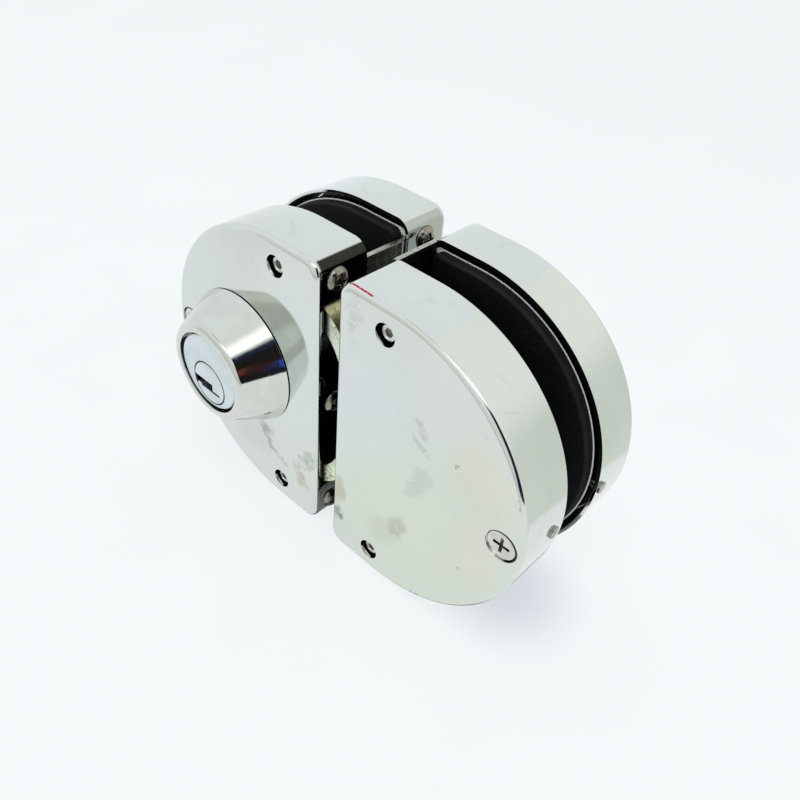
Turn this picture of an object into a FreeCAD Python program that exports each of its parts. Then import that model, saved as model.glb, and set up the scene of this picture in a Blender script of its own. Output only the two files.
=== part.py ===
import FreeCAD, Part

import math
import os

import Sketcher
from FreeCAD import Placement, Rotation, Vector

# Glass door lock: a lock unit with a key cylinder and a strike unit, each a half-moon clamp.
# Frame: +X along the doors from lock to strike, +Y from the key side to the back, +Z up.
# The origin is under the middle of the whole lock, at its lowest point. All lengths are in mm.
# Each unit is described by u, the distance from its flat meeting face into the unit,
# y, the depth behind its front face, and z, the height above its middle.

LOCK = -1
STRIKE = 1

SIZES = (
    ("unit_height", 100.0, "height of a half-moon unit"),
    ("unit_width", 68.0, "flat meeting face to the crown of the round end"),
    ("meeting_gap", 8.0, "between the flat faces of the two units"),
    ("front_depth", 18.6, "depth of the front cover"),
    ("rear_depth", 16.8, "depth of the rear cover"),
    ("cover_wall", 1.2, "sheet thickness of the covers"),
    ("cover_corner", 5.0, "corner radius beside the flat face"),
    ("cover_edge", 1.8, "rounding round the face of a cover"),
    ("glass_thickness", 12.0, "glass that the unit clamps"),
    ("front_pad_stand", 2.0, "front pad proud of its cover"),
    ("rear_pad_stand", 2.8, "rear pad proud of its cover"),
    ("pad_thickness", 3.3, "rubber pad"),
    ("pad_margin", 3.2, "outline of the unit to the pad"),
    ("pad_rounding", 0.9, "soft edge of a pad"),
    ("pad_side_play", 0.4, "web to pad and clamp plate"),
    ("clamp_thickness", 1.5, "loose clamp plate"),
    ("clamp_margin", 3.0, "outline of the unit to the clamp plate"),
    ("clamp_play", 0.2, "clamp plate to front leg"),
    ("leg_thickness", 3.0, "legs of the chassis"),
    ("leg_margin", 2.8, "outline of the unit to the legs"),
    ("leg_corner", 2.4, "corner radius of inner plates"),
    ("web_side_play", 0.1, "cover wall to web"),
    ("lock_web_thickness", 1.6, "web of the lock chassis"),
    ("strike_web_thickness", 1.4, "web of the strike chassis, the keeper"),
    ("web_margin", 4.6, "end of the unit to the end of a web"),
    ("lock_web_dip", 5.6, "end of the unit to the lock web between the covers"),
    ("strike_web_dip", 0.8, "end of the unit to the strike web between the covers"),
    ("web_step_play", 0.3, "cover to the step in a web"),
    ("web_end_play", 0.8, "web edge to the face of a cover"),
    ("plate_thickness", 1.5, "mechanism plate"),
    ("plate_play", 0.3, "mechanism plate to front cover"),
    ("plate_near", 7.5, "u of the plate edge near the web"),
    ("plate_far", 50.0, "u of the plate edge away from the web"),
    ("plate_height", 42.0, "height of the mechanism plate"),
    ("standoff_inset", 46.0, "u of the standoffs"),
    ("standoff_spread", 32.0, "between the two standoffs"),
    ("standoff_radius", 2.5, "standoff body"),
    ("standoff_end_radius", 1.5, "riveted ends of a standoff"),
    ("claw_pivot_inset", 15.5, "u of the claw pivots"),
    ("claw_pivot_spread", 18.0, "between the two claw pivots"),
    ("claw_rise", 1.2, "middle of the two claws above the middle"),
    ("claw_pin_radius", 3.0, "claw pivot pin"),
    ("claw_hub_radius", 5.4, "hub of a claw"),
    ("claw_inner_radius", 23.3, "inside of the claw arc"),
    ("claw_outer_radius", 29.0, "outside of the claw arc"),
    ("claw_nose_radius", 29.8, "outside of the nose"),
    ("claw_nose_heel", 11.0, "degrees, where the nose ends"),
    ("claw_heel", 80.0, "degrees, where the claw arc ends"),
    ("claw_arm_width", 24.0, "degrees that the arm takes up"),
    ("claw_arm_setback", 10.0, "degrees from the arm to the heel, backwards"),
    ("claw_nose_gap", 6.0, "between the two noses"),
    ("claw_side_play", 0.4, "claw to the plates beside it"),
    ("claw_keeper_play", 0.5, "claw to keeper"),
    ("claw_nose_rounding", 0.8, "edges of the nose"),
    ("claw_swing", 72.0, "degrees from thrown to withdrawn"),
    ("keeper_height", 24.0, "keeper between the two strike slots"),
    ("slot_play", 0.7, "claw to the slots it passes"),
    ("key_turn", 90.0, "degrees from locked to open"),
    ("key_gear_teeth", 16.0, "teeth of a full gear, key side"),
    ("claw_gear_teeth", 20.0, "teeth of a full gear, claw side"),
    ("twin_gear_teeth", 16.0, "teeth of a full gear between the claws"),
    ("gear_backlash", 0.12, "thinning of each tooth at its pitch circle"),
    ("layer_play", 0.4, "between the two gear layers"),
    ("running_play", 0.05, "radial play of a shaft in its bore"),
    ("fixed_play", 0.03, "radial play of a fixed pin or screw"),
    ("cylinder_inset", 34.4, "u of the cylinder axis"),
    ("cylinder_rise", 1.2, "cylinder axis above the middle"),
    ("cylinder_radius", 12.7, "lock cylinder"),
    ("cylinder_reach", 13.3, "cylinder face ahead of the front cover"),
    ("cylinder_edge", 0.3, "bevel round the cylinder face"),
    ("plug_drop", 4.3, "plug axis below the cylinder axis"),
    ("plug_radius", 7.4, "cylinder plug"),
    ("plug_edge", 0.3, "bevel round the plug and its bore"),
    ("plug_neck_radius", 5.5, "neck behind the plug"),
    ("plug_neck_length", 1.2, "neck behind the plug"),
    ("keyway_width", 12.4, "keyway across the plug"),
    ("keyway_height", 3.3, "keyway height"),
    ("keyway_drop", 1.5, "keyway middle below the plug axis"),
    ("keyway_shift", 1.3, "keyway middle beside the plug axis"),
    ("keyway_tongue", 3.4, "width of the low part of the keyway"),
    ("keyway_tongue_height", 0.9, "height of the low part of the keyway"),
    ("keyway_depth", 11.6, "keyway depth"),
    ("keyway_ward", 0.8, "height of the ward in the keyway"),
    ("pin_radius", 1.2, "key pins and driver pins"),
    ("pin_play", 0.1, "pin to its chamber"),
    ("pin_pitch", 2.95, "between pin chambers"),
    ("pin_first", 2.2, "first chamber behind the cylinder face"),
    ("driver_length", 3.0, "driver pin"),
    ("cap_thickness", 1.4, "cap of a pin chamber"),
    ("cap_depth", 0.7, "cap below the cylinder surface"),
    ("spring_wire", 0.3, "wall of a pin spring"),
    ("tail_width", 7.0, "tailpiece blade"),
    ("tail_thickness", 1.6, "tailpiece blade"),
    ("tail_seat", 2.4, "tailpiece inside the plug"),
    ("tail_play", 0.1, "tailpiece to its slots"),
    ("drive_hub_radius", 5.0, "hub of the drive sector"),
    ("drive_stub_radius", 3.0, "stub shaft of the drive sector"),
    ("clip_thickness", 0.8, "plug clip"),
    ("clip_radius", 8.0, "plug clip"),
    ("clip_play", 0.1, "clip to cylinder"),
    ("clip_opening", 60.0, "degrees, opening of a clip or snap ring"),
    ("guard_reach", 13.8, "cone guard ahead of the front cover"),
    ("guard_base_radius", 22.6, "cone guard at its base"),
    ("guard_front_radius", 16.3, "cone guard at its front, before rounding"),
    ("guard_rounding", 2.0, "front edge of the guard"),
    ("guard_play", 0.9, "guard bore to cylinder"),
    ("guard_float", 0.3, "guard base to front cover"),
    ("guard_wall", 2.2, "wall of the guard at its base"),
    ("guard_lip_length", 3.6, "bore of the guard"),
    ("guard_lip_step", 1.9, "step behind the bore"),
    ("ring_thickness", 1.0, "snap ring"),
    ("ring_seat", 0.5, "depth of the snap ring groove"),
    ("ring_height", 2.3, "snap ring, radially"),
    ("ring_play", 0.2, "snap ring to guard"),
    ("cylinder_screw_spread", 9.0, "between the cylinder screws"),
    ("cylinder_screw_rise", 7.8, "cylinder screws above the cylinder axis"),
    ("cylinder_screw_radius", 1.5, "cylinder screw shank"),
    ("cylinder_screw_length", 8.0, "cylinder screw under its head"),
    ("cylinder_screw_head", 2.8, "cylinder screw head radius"),
    ("cylinder_screw_head_height", 1.7, "cylinder screw head"),
    ("set_screw_inset", 17.0, "u of the set screws"),
    ("set_screw_margin", 8.2, "end of the unit to a set screw"),
    ("set_screw_radius", 2.3, "set screw"),
    ("set_screw_sink", 1.4, "set screw below the cover face"),
    ("set_screw_hole", 3.4, "radius of the hole in the cover"),
    ("set_screw_socket", 2.5, "hexagon socket across flats"),
    ("cover_screw_margin", 6.6, "crown to the countersunk screws"),
    ("cover_screw_radius", 2.0, "countersunk screw shank"),
    ("cover_screw_head", 4.5, "countersunk head radius"),
    ("cover_screw_sink", 0.5, "head below the cover face"),
    ("cover_screw_length", 10.0, "countersunk screw"),
    ("cover_screw_play", 0.15, "countersunk head to its seat"),
    ("cover_screw_ring", 0.25, "gap round the countersunk head"),
    ("cover_post_radius", 4.4, "post for a countersunk screw"),
    ("cover_post_play", 0.2, "post to cover"),
    ("edge_screw_front", 7.5, "front edge screws behind the front face"),
    ("edge_screw_rear", 9.5, "rear edge screws ahead of the rear face"),
    ("edge_screw_margin", 7.0, "end of the unit to an outer edge screw"),
    ("edge_screw_radius", 1.75, "edge screw shank"),
    ("edge_screw_head", 3.8, "edge screw head radius"),
    ("edge_screw_head_height", 2.2, "edge screw head"),
    ("edge_screw_spare", 0.5, "edge screw past the web"),
    ("rim_screw_radius", 1.2, "rim screw shank"),
    ("rim_screw_length", 4.4, "rim screw under its head"),
    ("rim_screw_hex", 3.3, "rim screw head across flats"),
    ("rim_screw_head_height", 0.7, "rim screw head"),
    ("recess_width", 1.0, "arms of a cross recess"),
    ("recess_share", 0.58, "cross recess span over head width"),
    ("recess_depth", 1.5, "depth of a cross recess"),
)

PLACES = (
    ("half_height", "=sizes.unit_height / 2"),
    ("web_half", "=half_height - sizes.web_margin"),
    ("set_screw_z", "=half_height - sizes.set_screw_margin"),
    ("edge_screw_z", "=half_height - sizes.edge_screw_margin"),
    ("cover_screw_inset", "=sizes.unit_width - sizes.cover_screw_margin"),
    ("glass_front", "=sizes.front_depth + sizes.front_pad_stand"),
    ("glass_rear", "=glass_front + sizes.glass_thickness"),
    ("unit_depth", "=glass_rear + sizes.rear_pad_stand + sizes.rear_depth"),
    ("front_face", "=-(unit_depth - sizes.guard_reach) / 2"),
    ("clamp_front", "=glass_front - sizes.pad_thickness - sizes.clamp_thickness"),
    ("front_leg_rear", "=clamp_front - sizes.clamp_play"),
    ("front_leg_front", "=front_leg_rear - sizes.leg_thickness"),
    ("rear_leg_front", "=glass_rear + sizes.pad_thickness"),
    ("rear_leg_rear", "=rear_leg_front + sizes.leg_thickness"),
    ("web_outer", "=sizes.cover_wall + sizes.web_side_play"),
    ("lock_web_inner", "=web_outer + sizes.lock_web_thickness"),
    ("strike_web_inner", "=web_outer + sizes.strike_web_thickness"),
    ("web_front", "=sizes.cover_wall + sizes.web_end_play"),
    ("web_rear", "=unit_depth - web_front"),
    ("web_step_front", "=sizes.front_depth + sizes.web_step_play"),
    ("web_step_rear", "=unit_depth - sizes.rear_depth - sizes.web_step_play"),
    ("plate_front", "=sizes.cover_wall + sizes.plate_play"),
    ("plate_rear", "=plate_front + sizes.plate_thickness"),
    ("claw_front", "=plate_rear + sizes.claw_side_play"),
    ("claw_rear", "=front_leg_front - sizes.claw_side_play"),
    ("gear_layer", "=(claw_rear - claw_front - sizes.layer_play) / 2"),
    ("claw_pivot_z", "=sizes.claw_pivot_spread / 2"),
    ("upper_pivot_z", "=sizes.claw_rise + claw_pivot_z"),
    ("lower_pivot_z", "=sizes.claw_rise - claw_pivot_z"),
    ("plug_z", "=sizes.cylinder_rise - sizes.plug_drop"),
    ("slot_front", "=claw_front - sizes.slot_play"),
    ("slot_width", "=claw_rear - claw_front + 2 * sizes.slot_play"),
    ("rim_front", "=front_leg_front + sizes.leg_thickness / 2"),
    ("rim_rear", "=rear_leg_front + sizes.leg_thickness / 2"),
    ("post_front", "=sizes.cover_wall + sizes.cover_post_play"),
    ("ring_front", "=-sizes.guard_reach + sizes.guard_lip_length + sizes.ring_play"),
)

doc = FreeCAD.newDocument("glass_door_lock")
sizes = doc.addObject("Spreadsheet::Sheet", "sizes")
places = doc.addObject("Spreadsheet::Sheet", "places")

for row, (alias, millimetres, meaning) in enumerate(SIZES, start=1):
    sizes.set(f"A{row}", str(millimetres))
    sizes.setAlias(f"A{row}", alias)
    sizes.set(f"B{row}", meaning)
for row, (alias, formula) in enumerate(PLACES, start=1):
    places.set(f"A{row}", formula)
    places.setAlias(f"A{row}", alias)
doc.recompute()


def size(name):
    """A driving size."""
    return float(sizes.evalExpression(f"sizes.{name}"))


def place(name):
    """A size that follows from the driving sizes."""
    return float(places.evalExpression(f"places.{name}"))


def evaluate(formula):
    """The present value of a formula on the two sheets."""
    return float(places.evalExpression(formula))


# Bodies, sketches and features

nodes = []


def unit_origin(side):
    """Middle of a unit's flat meeting face, at its front."""
    return Vector(side * size("meeting_gap") / 2, place("front_face"), place("half_height"))


def new_body(label, side):
    """An empty body whose own frame is the frame of a unit."""
    body = doc.addObject("PartDesign::Body", label)
    body.Label = label
    body.setExpression("Placement.Base.x", f"{side} * sizes.meeting_gap / 2")
    body.setExpression("Placement.Base.y", "places.front_face")
    body.setExpression("Placement.Base.z", "places.half_height")
    nodes.append(body)
    return body


def new_sketch(body, plane, offset):
    """A sketch on one of the body's origin planes, moved along its normal."""
    support = [item for item in body.Origin.OriginFeatures if item.Role == plane][0]
    sketch = body.newObject("Sketcher::SketchObject", f"{body.Name}_sketch")
    sketch.AttachmentSupport = (support, [""])
    sketch.MapMode = "FlatFace"
    sketch.setExpression("AttachmentOffset.Base.z", offset)
    return sketch


def pin(sketch, geometry, point, x, y=None):
    """Hold a point of the sketch at one or two formulas."""
    for kind, formula in (("DistanceX", x), ("DistanceY", y)):
        if formula is not None:
            held = Sketcher.Constraint(kind, -1, 1, geometry, point, evaluate(formula))
            number = sketch.addConstraint(held)
            sketch.setExpression(f"Constraints[{number}]", formula)


def draw_circle(sketch, x, y, radius):
    """A circle whose centre and radius are formulas."""
    centre = Vector(evaluate(x), evaluate(y), 0)
    number = sketch.addGeometry(Part.Circle(centre, Vector(0, 0, 1), evaluate(radius)))
    pin(sketch, number, 3, x, y)
    held = sketch.addConstraint(Sketcher.Constraint("Radius", number, evaluate(radius)))
    sketch.setExpression(f"Constraints[{held}]", radius)


def draw_outline(sketch, corners):
    """A closed outline. A corner is (x, y), or (x, y, arc centre x, arc centre y, turn)."""
    count = len(corners)
    starts = []
    for index, corner in enumerate(corners):
        here = Vector(evaluate(corner[0]), evaluate(corner[1]), 0)
        after = corners[(index + 1) % count]
        there = Vector(evaluate(after[0]), evaluate(after[1]), 0)
        if len(corner) == 2:
            number = sketch.addGeometry(Part.LineSegment(here, there))
            starts.append((number, 1, 2))
            continue
        centre = Vector(evaluate(corner[2]), evaluate(corner[3]), 0)
        forward = corner[4] > 0
        first, last = (here, there) if forward else (there, here)
        angles = [math.atan2(end.y - centre.y, end.x - centre.x) for end in (first, last)]
        if angles[1] < angles[0]:
            angles[1] += 2 * math.pi
        circle = Part.Circle(centre, Vector(0, 0, 1), (first - centre).Length)
        number = sketch.addGeometry(Part.ArcOfCircle(circle, *angles))
        starts.append((number, 1, 2) if forward else (number, 2, 1))
    for index, (number, start, end) in enumerate(starts):
        following, begin, _ = starts[(index + 1) % count]
        sketch.addConstraint(Sketcher.Constraint("Coincident", number, end, following, begin))
    for corner, (number, start, end) in zip(corners, starts):
        pin(sketch, number, start, corner[0], corner[1])
        if len(corner) > 2:
            pin(sketch, number, 3, corner[2])


def half_moon(side, flat, margin, corner):
    """Outline of a half-moon plate: flat edge at u=flat, the rest margin inside the unit."""
    half = f"(places.half_height - ({margin}))"
    near = f"{side} * ({flat})"
    inner = f"{side} * ({flat} + {corner})"
    centre = f"{side} * (sizes.unit_width - places.half_height)"
    turn = -side
    return (
        (near, f"-({half} - {corner})"),
        (near, f"{half} - {corner}", inner, f"{half} - {corner}", turn),
        (inner, half),
        (centre, half, centre, "0", turn),
        (centre, f"-{half}"),
        (inner, f"-{half}", inner, f"-({half} - {corner})", turn),
    )


def rectangle(left, right, low, high):
    """Outline of a rectangle from four formulas."""
    return ((left, low), (right, low), (right, high), (left, high))


def add_pad(body, sketch, length, reverse):
    """Grow the body from a sketch."""
    feature = body.newObject("PartDesign::Pad", f"{body.Name}_pad")
    feature.Profile = sketch
    feature.setExpression("Length", length)
    feature.Reversed = reverse
    sketch.Visibility = False
    return feature


def add_pocket(body, sketch, length, reverse):
    """Cut the body with a sketch, and make sure that something was cut."""
    doc.recompute()
    before = body.Shape.Volume
    feature = body.newObject("PartDesign::Pocket", f"{body.Name}_pocket")
    feature.Profile = sketch
    feature.setExpression("Length", length)
    feature.Reversed = reverse
    doc.recompute()
    if not feature.Shape.Volume < before:
        raise RuntimeError(f"{feature.Name} cuts nothing")
    return feature


def add_edge_feature(body, kind, length, chosen):
    """Round or bevel the edges of the body that a test chooses."""
    doc.recompute()
    base = body.Tip
    names = [f"Edge{n}" for n, edge in enumerate(base.Shape.Edges, start=1) if chosen(edge)]
    if not names:
        raise RuntimeError(f"{body.Name} has no edge to treat")
    feature = body.newObject(f"PartDesign::{kind}", f"{body.Name}_{kind.lower()}")
    feature.Base = (base, names)
    feature.setExpression("Radius" if kind == "Fillet" else "Size", length)
    return feature


def at_depth(edge, depth):
    """Whether an edge lies flat at a depth."""
    box = edge.BoundBox
    return abs(box.YMin - depth) < CLOSE and abs(box.YMax - depth) < CLOSE


CLOSE = 1e-3


# Solids from simple shapes


def cylinder(radius, start, end):
    """A solid cylinder between two points."""
    axis = end - start
    return Part.makeCylinder(radius, axis.Length, start, axis)


def block(low, high):
    """A solid box between two corners."""
    span = high - low
    return Part.makeBox(span.x, span.y, span.z, low)


def new_solid(label, shapes, placement):
    """A sub-part whose shape comes straight from solids."""
    feature = doc.addObject("Part::Feature", label)
    feature.Label = label
    feature.Shape = shapes[0] if len(shapes) == 1 else Part.makeCompound(shapes)
    feature.Placement = placement
    nodes.append(feature)
    return feature


def on_axis(side, inset, height):
    """Placement with its own Y axis through a point of a unit."""
    return Placement(unit_origin(side) + Vector(side * inset, 0, height), Rotation())


def cross_recess(head_radius):
    """The cross that a screwdriver fits, cut down from z=0."""
    reach = head_radius * size("recess_share")
    half = size("recess_width") / 2
    depth = size("recess_depth")
    long_arm = block(Vector(-reach, -half, -depth), Vector(reach, half, depth))
    cross_arm = block(Vector(-half, -reach, -depth), Vector(half, reach, depth))
    return long_arm.fuse(cross_arm)


def hexagon(across, low, high):
    """A hexagonal bar along z."""
    reach = across / math.sqrt(3)
    corners = [Vector(reach * math.cos(math.radians(60 * n)), reach * math.sin(math.radians(60 * n)), low)
               for n in range(7)]
    return Part.Face(Part.makePolygon(corners)).extrude(Vector(0, 0, high - low))


def pan_screw(head_radius, head_height, shank_radius, length):
    """A domed screw along z: its head stands on z=0 and its shank runs down."""
    dome_radius = (head_radius ** 2 + head_height ** 2) / (2 * head_height)
    ball = Part.makeSphere(dome_radius, Vector(0, 0, head_height - dome_radius))
    head = ball.common(cylinder(head_radius, Vector(0, 0, 0), Vector(0, 0, head_height)))
    recess = cross_recess(head_radius)
    recess.translate(Vector(0, 0, head_height))
    shank = cylinder(shank_radius, Vector(0, 0, -length), Vector(0, 0, 0))
    return head.cut(recess).fuse(shank).removeSplitter()


def countersunk_screw():
    """A countersunk screw along z: its head is flush with z=0."""
    head_radius = size("cover_screw_head")
    shank_radius = size("cover_screw_radius")
    depth = head_radius - shank_radius
    head = Part.makeCone(shank_radius, head_radius, depth, Vector(0, 0, -depth))
    shank = cylinder(shank_radius, Vector(0, 0, -size("cover_screw_length")), Vector(0, 0, -depth))
    return head.fuse(shank).cut(cross_recess(head_radius)).removeSplitter()


def set_screw():
    """A socket set screw along z: its socket opens at z=0 and its tip meets the clamp plate."""
    length = place("clamp_front") - size("set_screw_sink")
    bar = cylinder(size("set_screw_radius"), Vector(0, 0, -length), Vector(0, 0, 0))
    socket = size("set_screw_socket")
    return bar.cut(hexagon(socket, -socket, 0))


def rim_screw():
    """A small hexagon-head screw along z: its head stands on z=0."""
    head = hexagon(size("rim_screw_hex"), 0, size("rim_screw_head_height"))
    shank = cylinder(size("rim_screw_radius"), Vector(0, 0, -size("rim_screw_length")), Vector(0, 0, 0))
    return head.fuse(shank)


FACING_FRONT = Rotation(Vector(1, 0, 0), 90)
FACING_REAR = Rotation(Vector(1, 0, 0), -90)


def placed(shape, rotation, position):
    """A copy of a shape, turned and moved."""
    copy = shape.copy()
    copy.Placement = Placement(position, rotation)
    return copy


# Covers

def make_cover(label, side, depth, pockets):
    """A pressed half-moon shell, open at the back, with its face at y=0."""
    body = new_body(label, side)
    outline = new_sketch(body, "XZ_Plane", "0")
    draw_outline(outline, half_moon(side, "0", "0", "sizes.cover_corner"))
    add_pad(body, outline, depth, True)
    add_edge_feature(body, "Fillet", "sizes.cover_edge", lambda edge: at_depth(edge, 0))
    hollow = new_sketch(body, "XZ_Plane", "-sizes.cover_wall")
    corner = "(sizes.cover_corner - sizes.cover_wall)"
    draw_outline(hollow, half_moon(side, "sizes.cover_wall", "sizes.cover_wall", corner))
    add_pocket(body, hollow, depth, False)
    add_screw_seat(body, side)
    pockets(body)
    return body


def add_screw_seat(body, side):
    """Stepped and bevelled hole for the countersunk screw in the face of a cover."""
    middle = f"{side} * places.cover_screw_inset"
    ring = new_sketch(body, "XZ_Plane", "0")
    draw_circle(ring, middle, "0", "sizes.cover_screw_head + sizes.cover_screw_ring")
    add_pocket(body, ring, "sizes.cover_screw_sink", False)
    hole = new_sketch(body, "XZ_Plane", "0")
    seat = "(sizes.cover_wall - sizes.cover_screw_sink)"
    narrow = f"sizes.cover_screw_head - {seat} + sizes.cover_screw_play"
    draw_circle(hole, middle, "0", narrow)
    add_pocket(body, hole, "sizes.cover_wall * 2", False)
    radius = evaluate(narrow)
    sink = size("cover_screw_sink")
    add_edge_feature(
        body, "Chamfer", f"{seat} - sizes.running_play",
        lambda edge: at_depth(edge, sink) and abs(edge.BoundBox.ZLength / 2 - radius) < CLOSE)


def cut_side(body, side, offset, length, shapes):
    """Cut through a side wall from a plane that faces along X."""
    sketch = new_sketch(body, "YZ_Plane", offset)
    for draw, values in shapes:
        draw(sketch, *values)
    add_pocket(body, sketch, length, side > 0)


def edge_screw_holes(depth):
    """The three holes for edge screws in a flat wall."""
    radius = "sizes.edge_screw_radius + sizes.fixed_play"
    heights = ("-places.edge_screw_z", "0", "places.edge_screw_z")
    return [(draw_circle, (depth, height, radius)) for height in heights]


def claw_slots(low, high):
    """The two slots that the claws pass, one above and one below the middle of the claws."""
    front = "places.slot_front"
    rear = "(places.slot_front + places.slot_width)"
    upper = rectangle(front, rear, f"sizes.claw_rise + {low}", f"sizes.claw_rise + {high}")
    lower = rectangle(front, rear, f"sizes.claw_rise - ({high})", f"sizes.claw_rise - ({low})")
    return [(draw_outline, (upper,)), (draw_outline, (lower,))]


def claw_height(radius, distance):
    """Height, over the middle of the claws, where a radius of the upper one crosses a plane."""
    return f"(places.claw_pivot_z + sqrt(sizes.{radius} ^ 2 - ({distance}) ^ 2))"


PIVOT_TO_STRIKE = "(sizes.claw_pivot_inset + sizes.meeting_gap)"
LOCK_WALL_SLOT = (
    claw_height("claw_inner_radius", "sizes.claw_pivot_inset") + " - sizes.slot_play",
    claw_height("claw_nose_radius", "sizes.claw_pivot_inset - sizes.cover_wall") + " + sizes.slot_play",
)
LOCK_WEB_SLOT = (
    LOCK_WALL_SLOT[0],
    claw_height("claw_nose_radius", "sizes.claw_pivot_inset - places.lock_web_inner") + " + sizes.slot_play",
)
STRIKE_SLOT = (
    "sizes.keeper_height / 2",
    claw_height("claw_nose_radius", PIVOT_TO_STRIKE) + " + sizes.slot_play",
)


def cover_side_holes(body, side, depth, screw_depth, rim_depth):
    """Holes for the edge screws and the rim screw of a cover."""
    cut_side(body, side, "0", "sizes.cover_wall * 2", edge_screw_holes(screw_depth))
    rim = [(draw_circle, (rim_depth, "0", "sizes.rim_screw_radius + sizes.fixed_play"))]
    cut_side(body, -side, f"{side} * sizes.unit_width", "sizes.cover_wall * 2", rim)


def make_front_cover(label, side, slot, cylinder_hole):
    """Front cover of a unit."""
    def pockets(body):
        holes = new_sketch(body, "XZ_Plane", "0")
        for height in ("places.set_screw_z", "-places.set_screw_z"):
            draw_circle(holes, f"{side} * sizes.set_screw_inset", height, "sizes.set_screw_hole")
        if cylinder_hole:
            bore = "sizes.cylinder_radius + sizes.pad_side_play"
            draw_circle(holes, f"{side} * sizes.cylinder_inset", "sizes.cylinder_rise", bore)
        add_pocket(body, holes, "sizes.cover_wall * 2", False)
        cover_side_holes(body, side, "sizes.front_depth", "sizes.edge_screw_front", "places.rim_front")
        cut_side(body, side, "0", "sizes.cover_wall * 2", claw_slots(*slot))
    return make_cover(label, side, "sizes.front_depth", pockets)


def make_rear_cover(label, side):
    """Rear cover of a unit: made like a front one, then turned over its own X axis."""
    def pockets(body):
        cover_side_holes(body, side, "sizes.rear_depth", "sizes.edge_screw_rear",
                         "places.unit_depth - places.rim_rear")
    body = make_cover(label, side, "sizes.rear_depth", pockets)
    body.setExpression("Placement.Base.y", "places.front_face + places.unit_depth")
    body.Placement.Rotation = Rotation(Vector(1, 0, 0), 180)
    return body


# Chassis: a U of front leg, web and rear leg that slides over the edge of the glass

def web_outline(dip):
    """Outline of a web seen along X: its ends run lower or higher between the covers."""
    corners = []
    for sign in (1, -1):
        ends = f"{sign} * places.web_half"
        middle = f"{sign} * (places.half_height - {dip})"
        run = [
            ("places.web_front", ends), ("places.web_step_front", ends),
            ("places.web_step_front", middle), ("places.web_step_rear", middle),
            ("places.web_step_rear", ends), ("places.web_rear", ends),
        ]
        corners += run[::sign]
    return corners


def make_chassis(label, side, web_inner, dip, slot, leg_holes):
    """The U frame of a unit."""
    body = new_body(label, side)
    web = new_sketch(body, "YZ_Plane", f"{side} * places.web_outer")
    draw_outline(web, web_outline(dip))
    add_pad(body, web, f"{web_inner} - places.web_outer", side < 0)
    for start in ("places.front_leg_front", "places.rear_leg_front"):
        leg = new_sketch(body, "XZ_Plane", f"-{start}")
        draw_outline(leg, half_moon(side, "places.web_outer", "sizes.leg_margin", "sizes.leg_corner"))
        add_pad(body, leg, "sizes.leg_thickness", True)
    add_posts(body, side)
    cut_side(body, side, "0", f"{web_inner} * 2", claw_slots(*slot))
    for depth in ("sizes.edge_screw_front", "places.unit_depth - sizes.edge_screw_rear"):
        cut_side(body, side, "0", f"{web_inner} + sizes.web_side_play", edge_screw_holes(depth))
    for depth in ("places.rim_front", "places.rim_rear"):
        rim = [(draw_circle, (depth, "0", "sizes.rim_screw_radius + sizes.fixed_play"))]
        length = "sizes.rim_screw_length + sizes.clamp_play"
        cut_side(body, -side, f"{side} * sizes.unit_width", length, rim)
    holes = new_sketch(body, "XZ_Plane", "-places.front_leg_front")
    for x, z, radius in leg_holes + set_screw_holes(side):
        draw_circle(holes, x, z, radius)
    add_pocket(body, holes, "sizes.leg_thickness", False)
    return body


def set_screw_holes(side):
    """Threaded holes for the two set screws of a unit."""
    radius = "sizes.set_screw_radius + sizes.fixed_play"
    return [(f"{side} * sizes.set_screw_inset", f"{sign} * places.set_screw_z", radius)
            for sign in (1, -1)]


def add_posts(body, side):
    """Posts with bevelled holes for the countersunk screws."""
    middle = f"{side} * places.cover_screw_inset"
    hole_radius = "sizes.cover_screw_radius + sizes.fixed_play"
    bore_length = "sizes.cover_screw_length"
    posts = (
        ("places.front_leg_front", "places.post_front", False),
        ("places.rear_leg_rear", "places.unit_depth - places.post_front", True),
    )
    for root, top, rearward in posts:
        post = new_sketch(body, "XZ_Plane", f"-({root})")
        draw_circle(post, middle, "0", "sizes.cover_post_radius")
        add_pad(body, post, f"abs({top} - ({root}))", rearward)
        bore = new_sketch(body, "XZ_Plane", f"-({top})")
        draw_circle(bore, middle, "0", hole_radius)
        add_pocket(body, bore, bore_length, rearward)
        depth = evaluate(top)
        radius = evaluate(hole_radius)
        sunk = "(places.post_front - sizes.cover_screw_sink)"
        cone = "(sizes.cover_screw_head - sizes.cover_screw_radius)"
        add_edge_feature(
            body, "Chamfer", f"{cone} - {sunk} + sizes.running_play",
            lambda edge: at_depth(edge, depth) and abs(edge.BoundBox.ZLength / 2 - radius) < CLOSE)


def lock_leg_holes():
    """Holes in the front leg of the lock for its pivots, drive shaft and standoffs."""
    pivot = f"{LOCK} * sizes.claw_pivot_inset"
    pivot_hole = "sizes.claw_pin_radius + sizes.fixed_play"
    standoff = f"{LOCK} * sizes.standoff_inset"
    standoff_hole = "sizes.standoff_end_radius + sizes.fixed_play"
    return [
        (pivot, "places.upper_pivot_z", pivot_hole),
        (pivot, "places.lower_pivot_z", pivot_hole),
        (standoff, "sizes.standoff_spread / 2", standoff_hole),
        (standoff, "-sizes.standoff_spread / 2", standoff_hole),
        (f"{LOCK} * sizes.cylinder_inset", "places.plug_z", "sizes.drive_stub_radius + sizes.running_play"),
    ]


# Clamp plate and pads

def make_slab(label, side, web_inner, front, thickness, margin):
    """A half-moon plate inside a unit."""
    body = new_body(label, side)
    outline = new_sketch(body, "XZ_Plane", f"-({front})")
    flat = f"({web_inner} + sizes.pad_side_play)"
    draw_outline(outline, half_moon(side, flat, margin, "sizes.leg_corner"))
    add_pad(body, outline, thickness, True)
    return body


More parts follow.
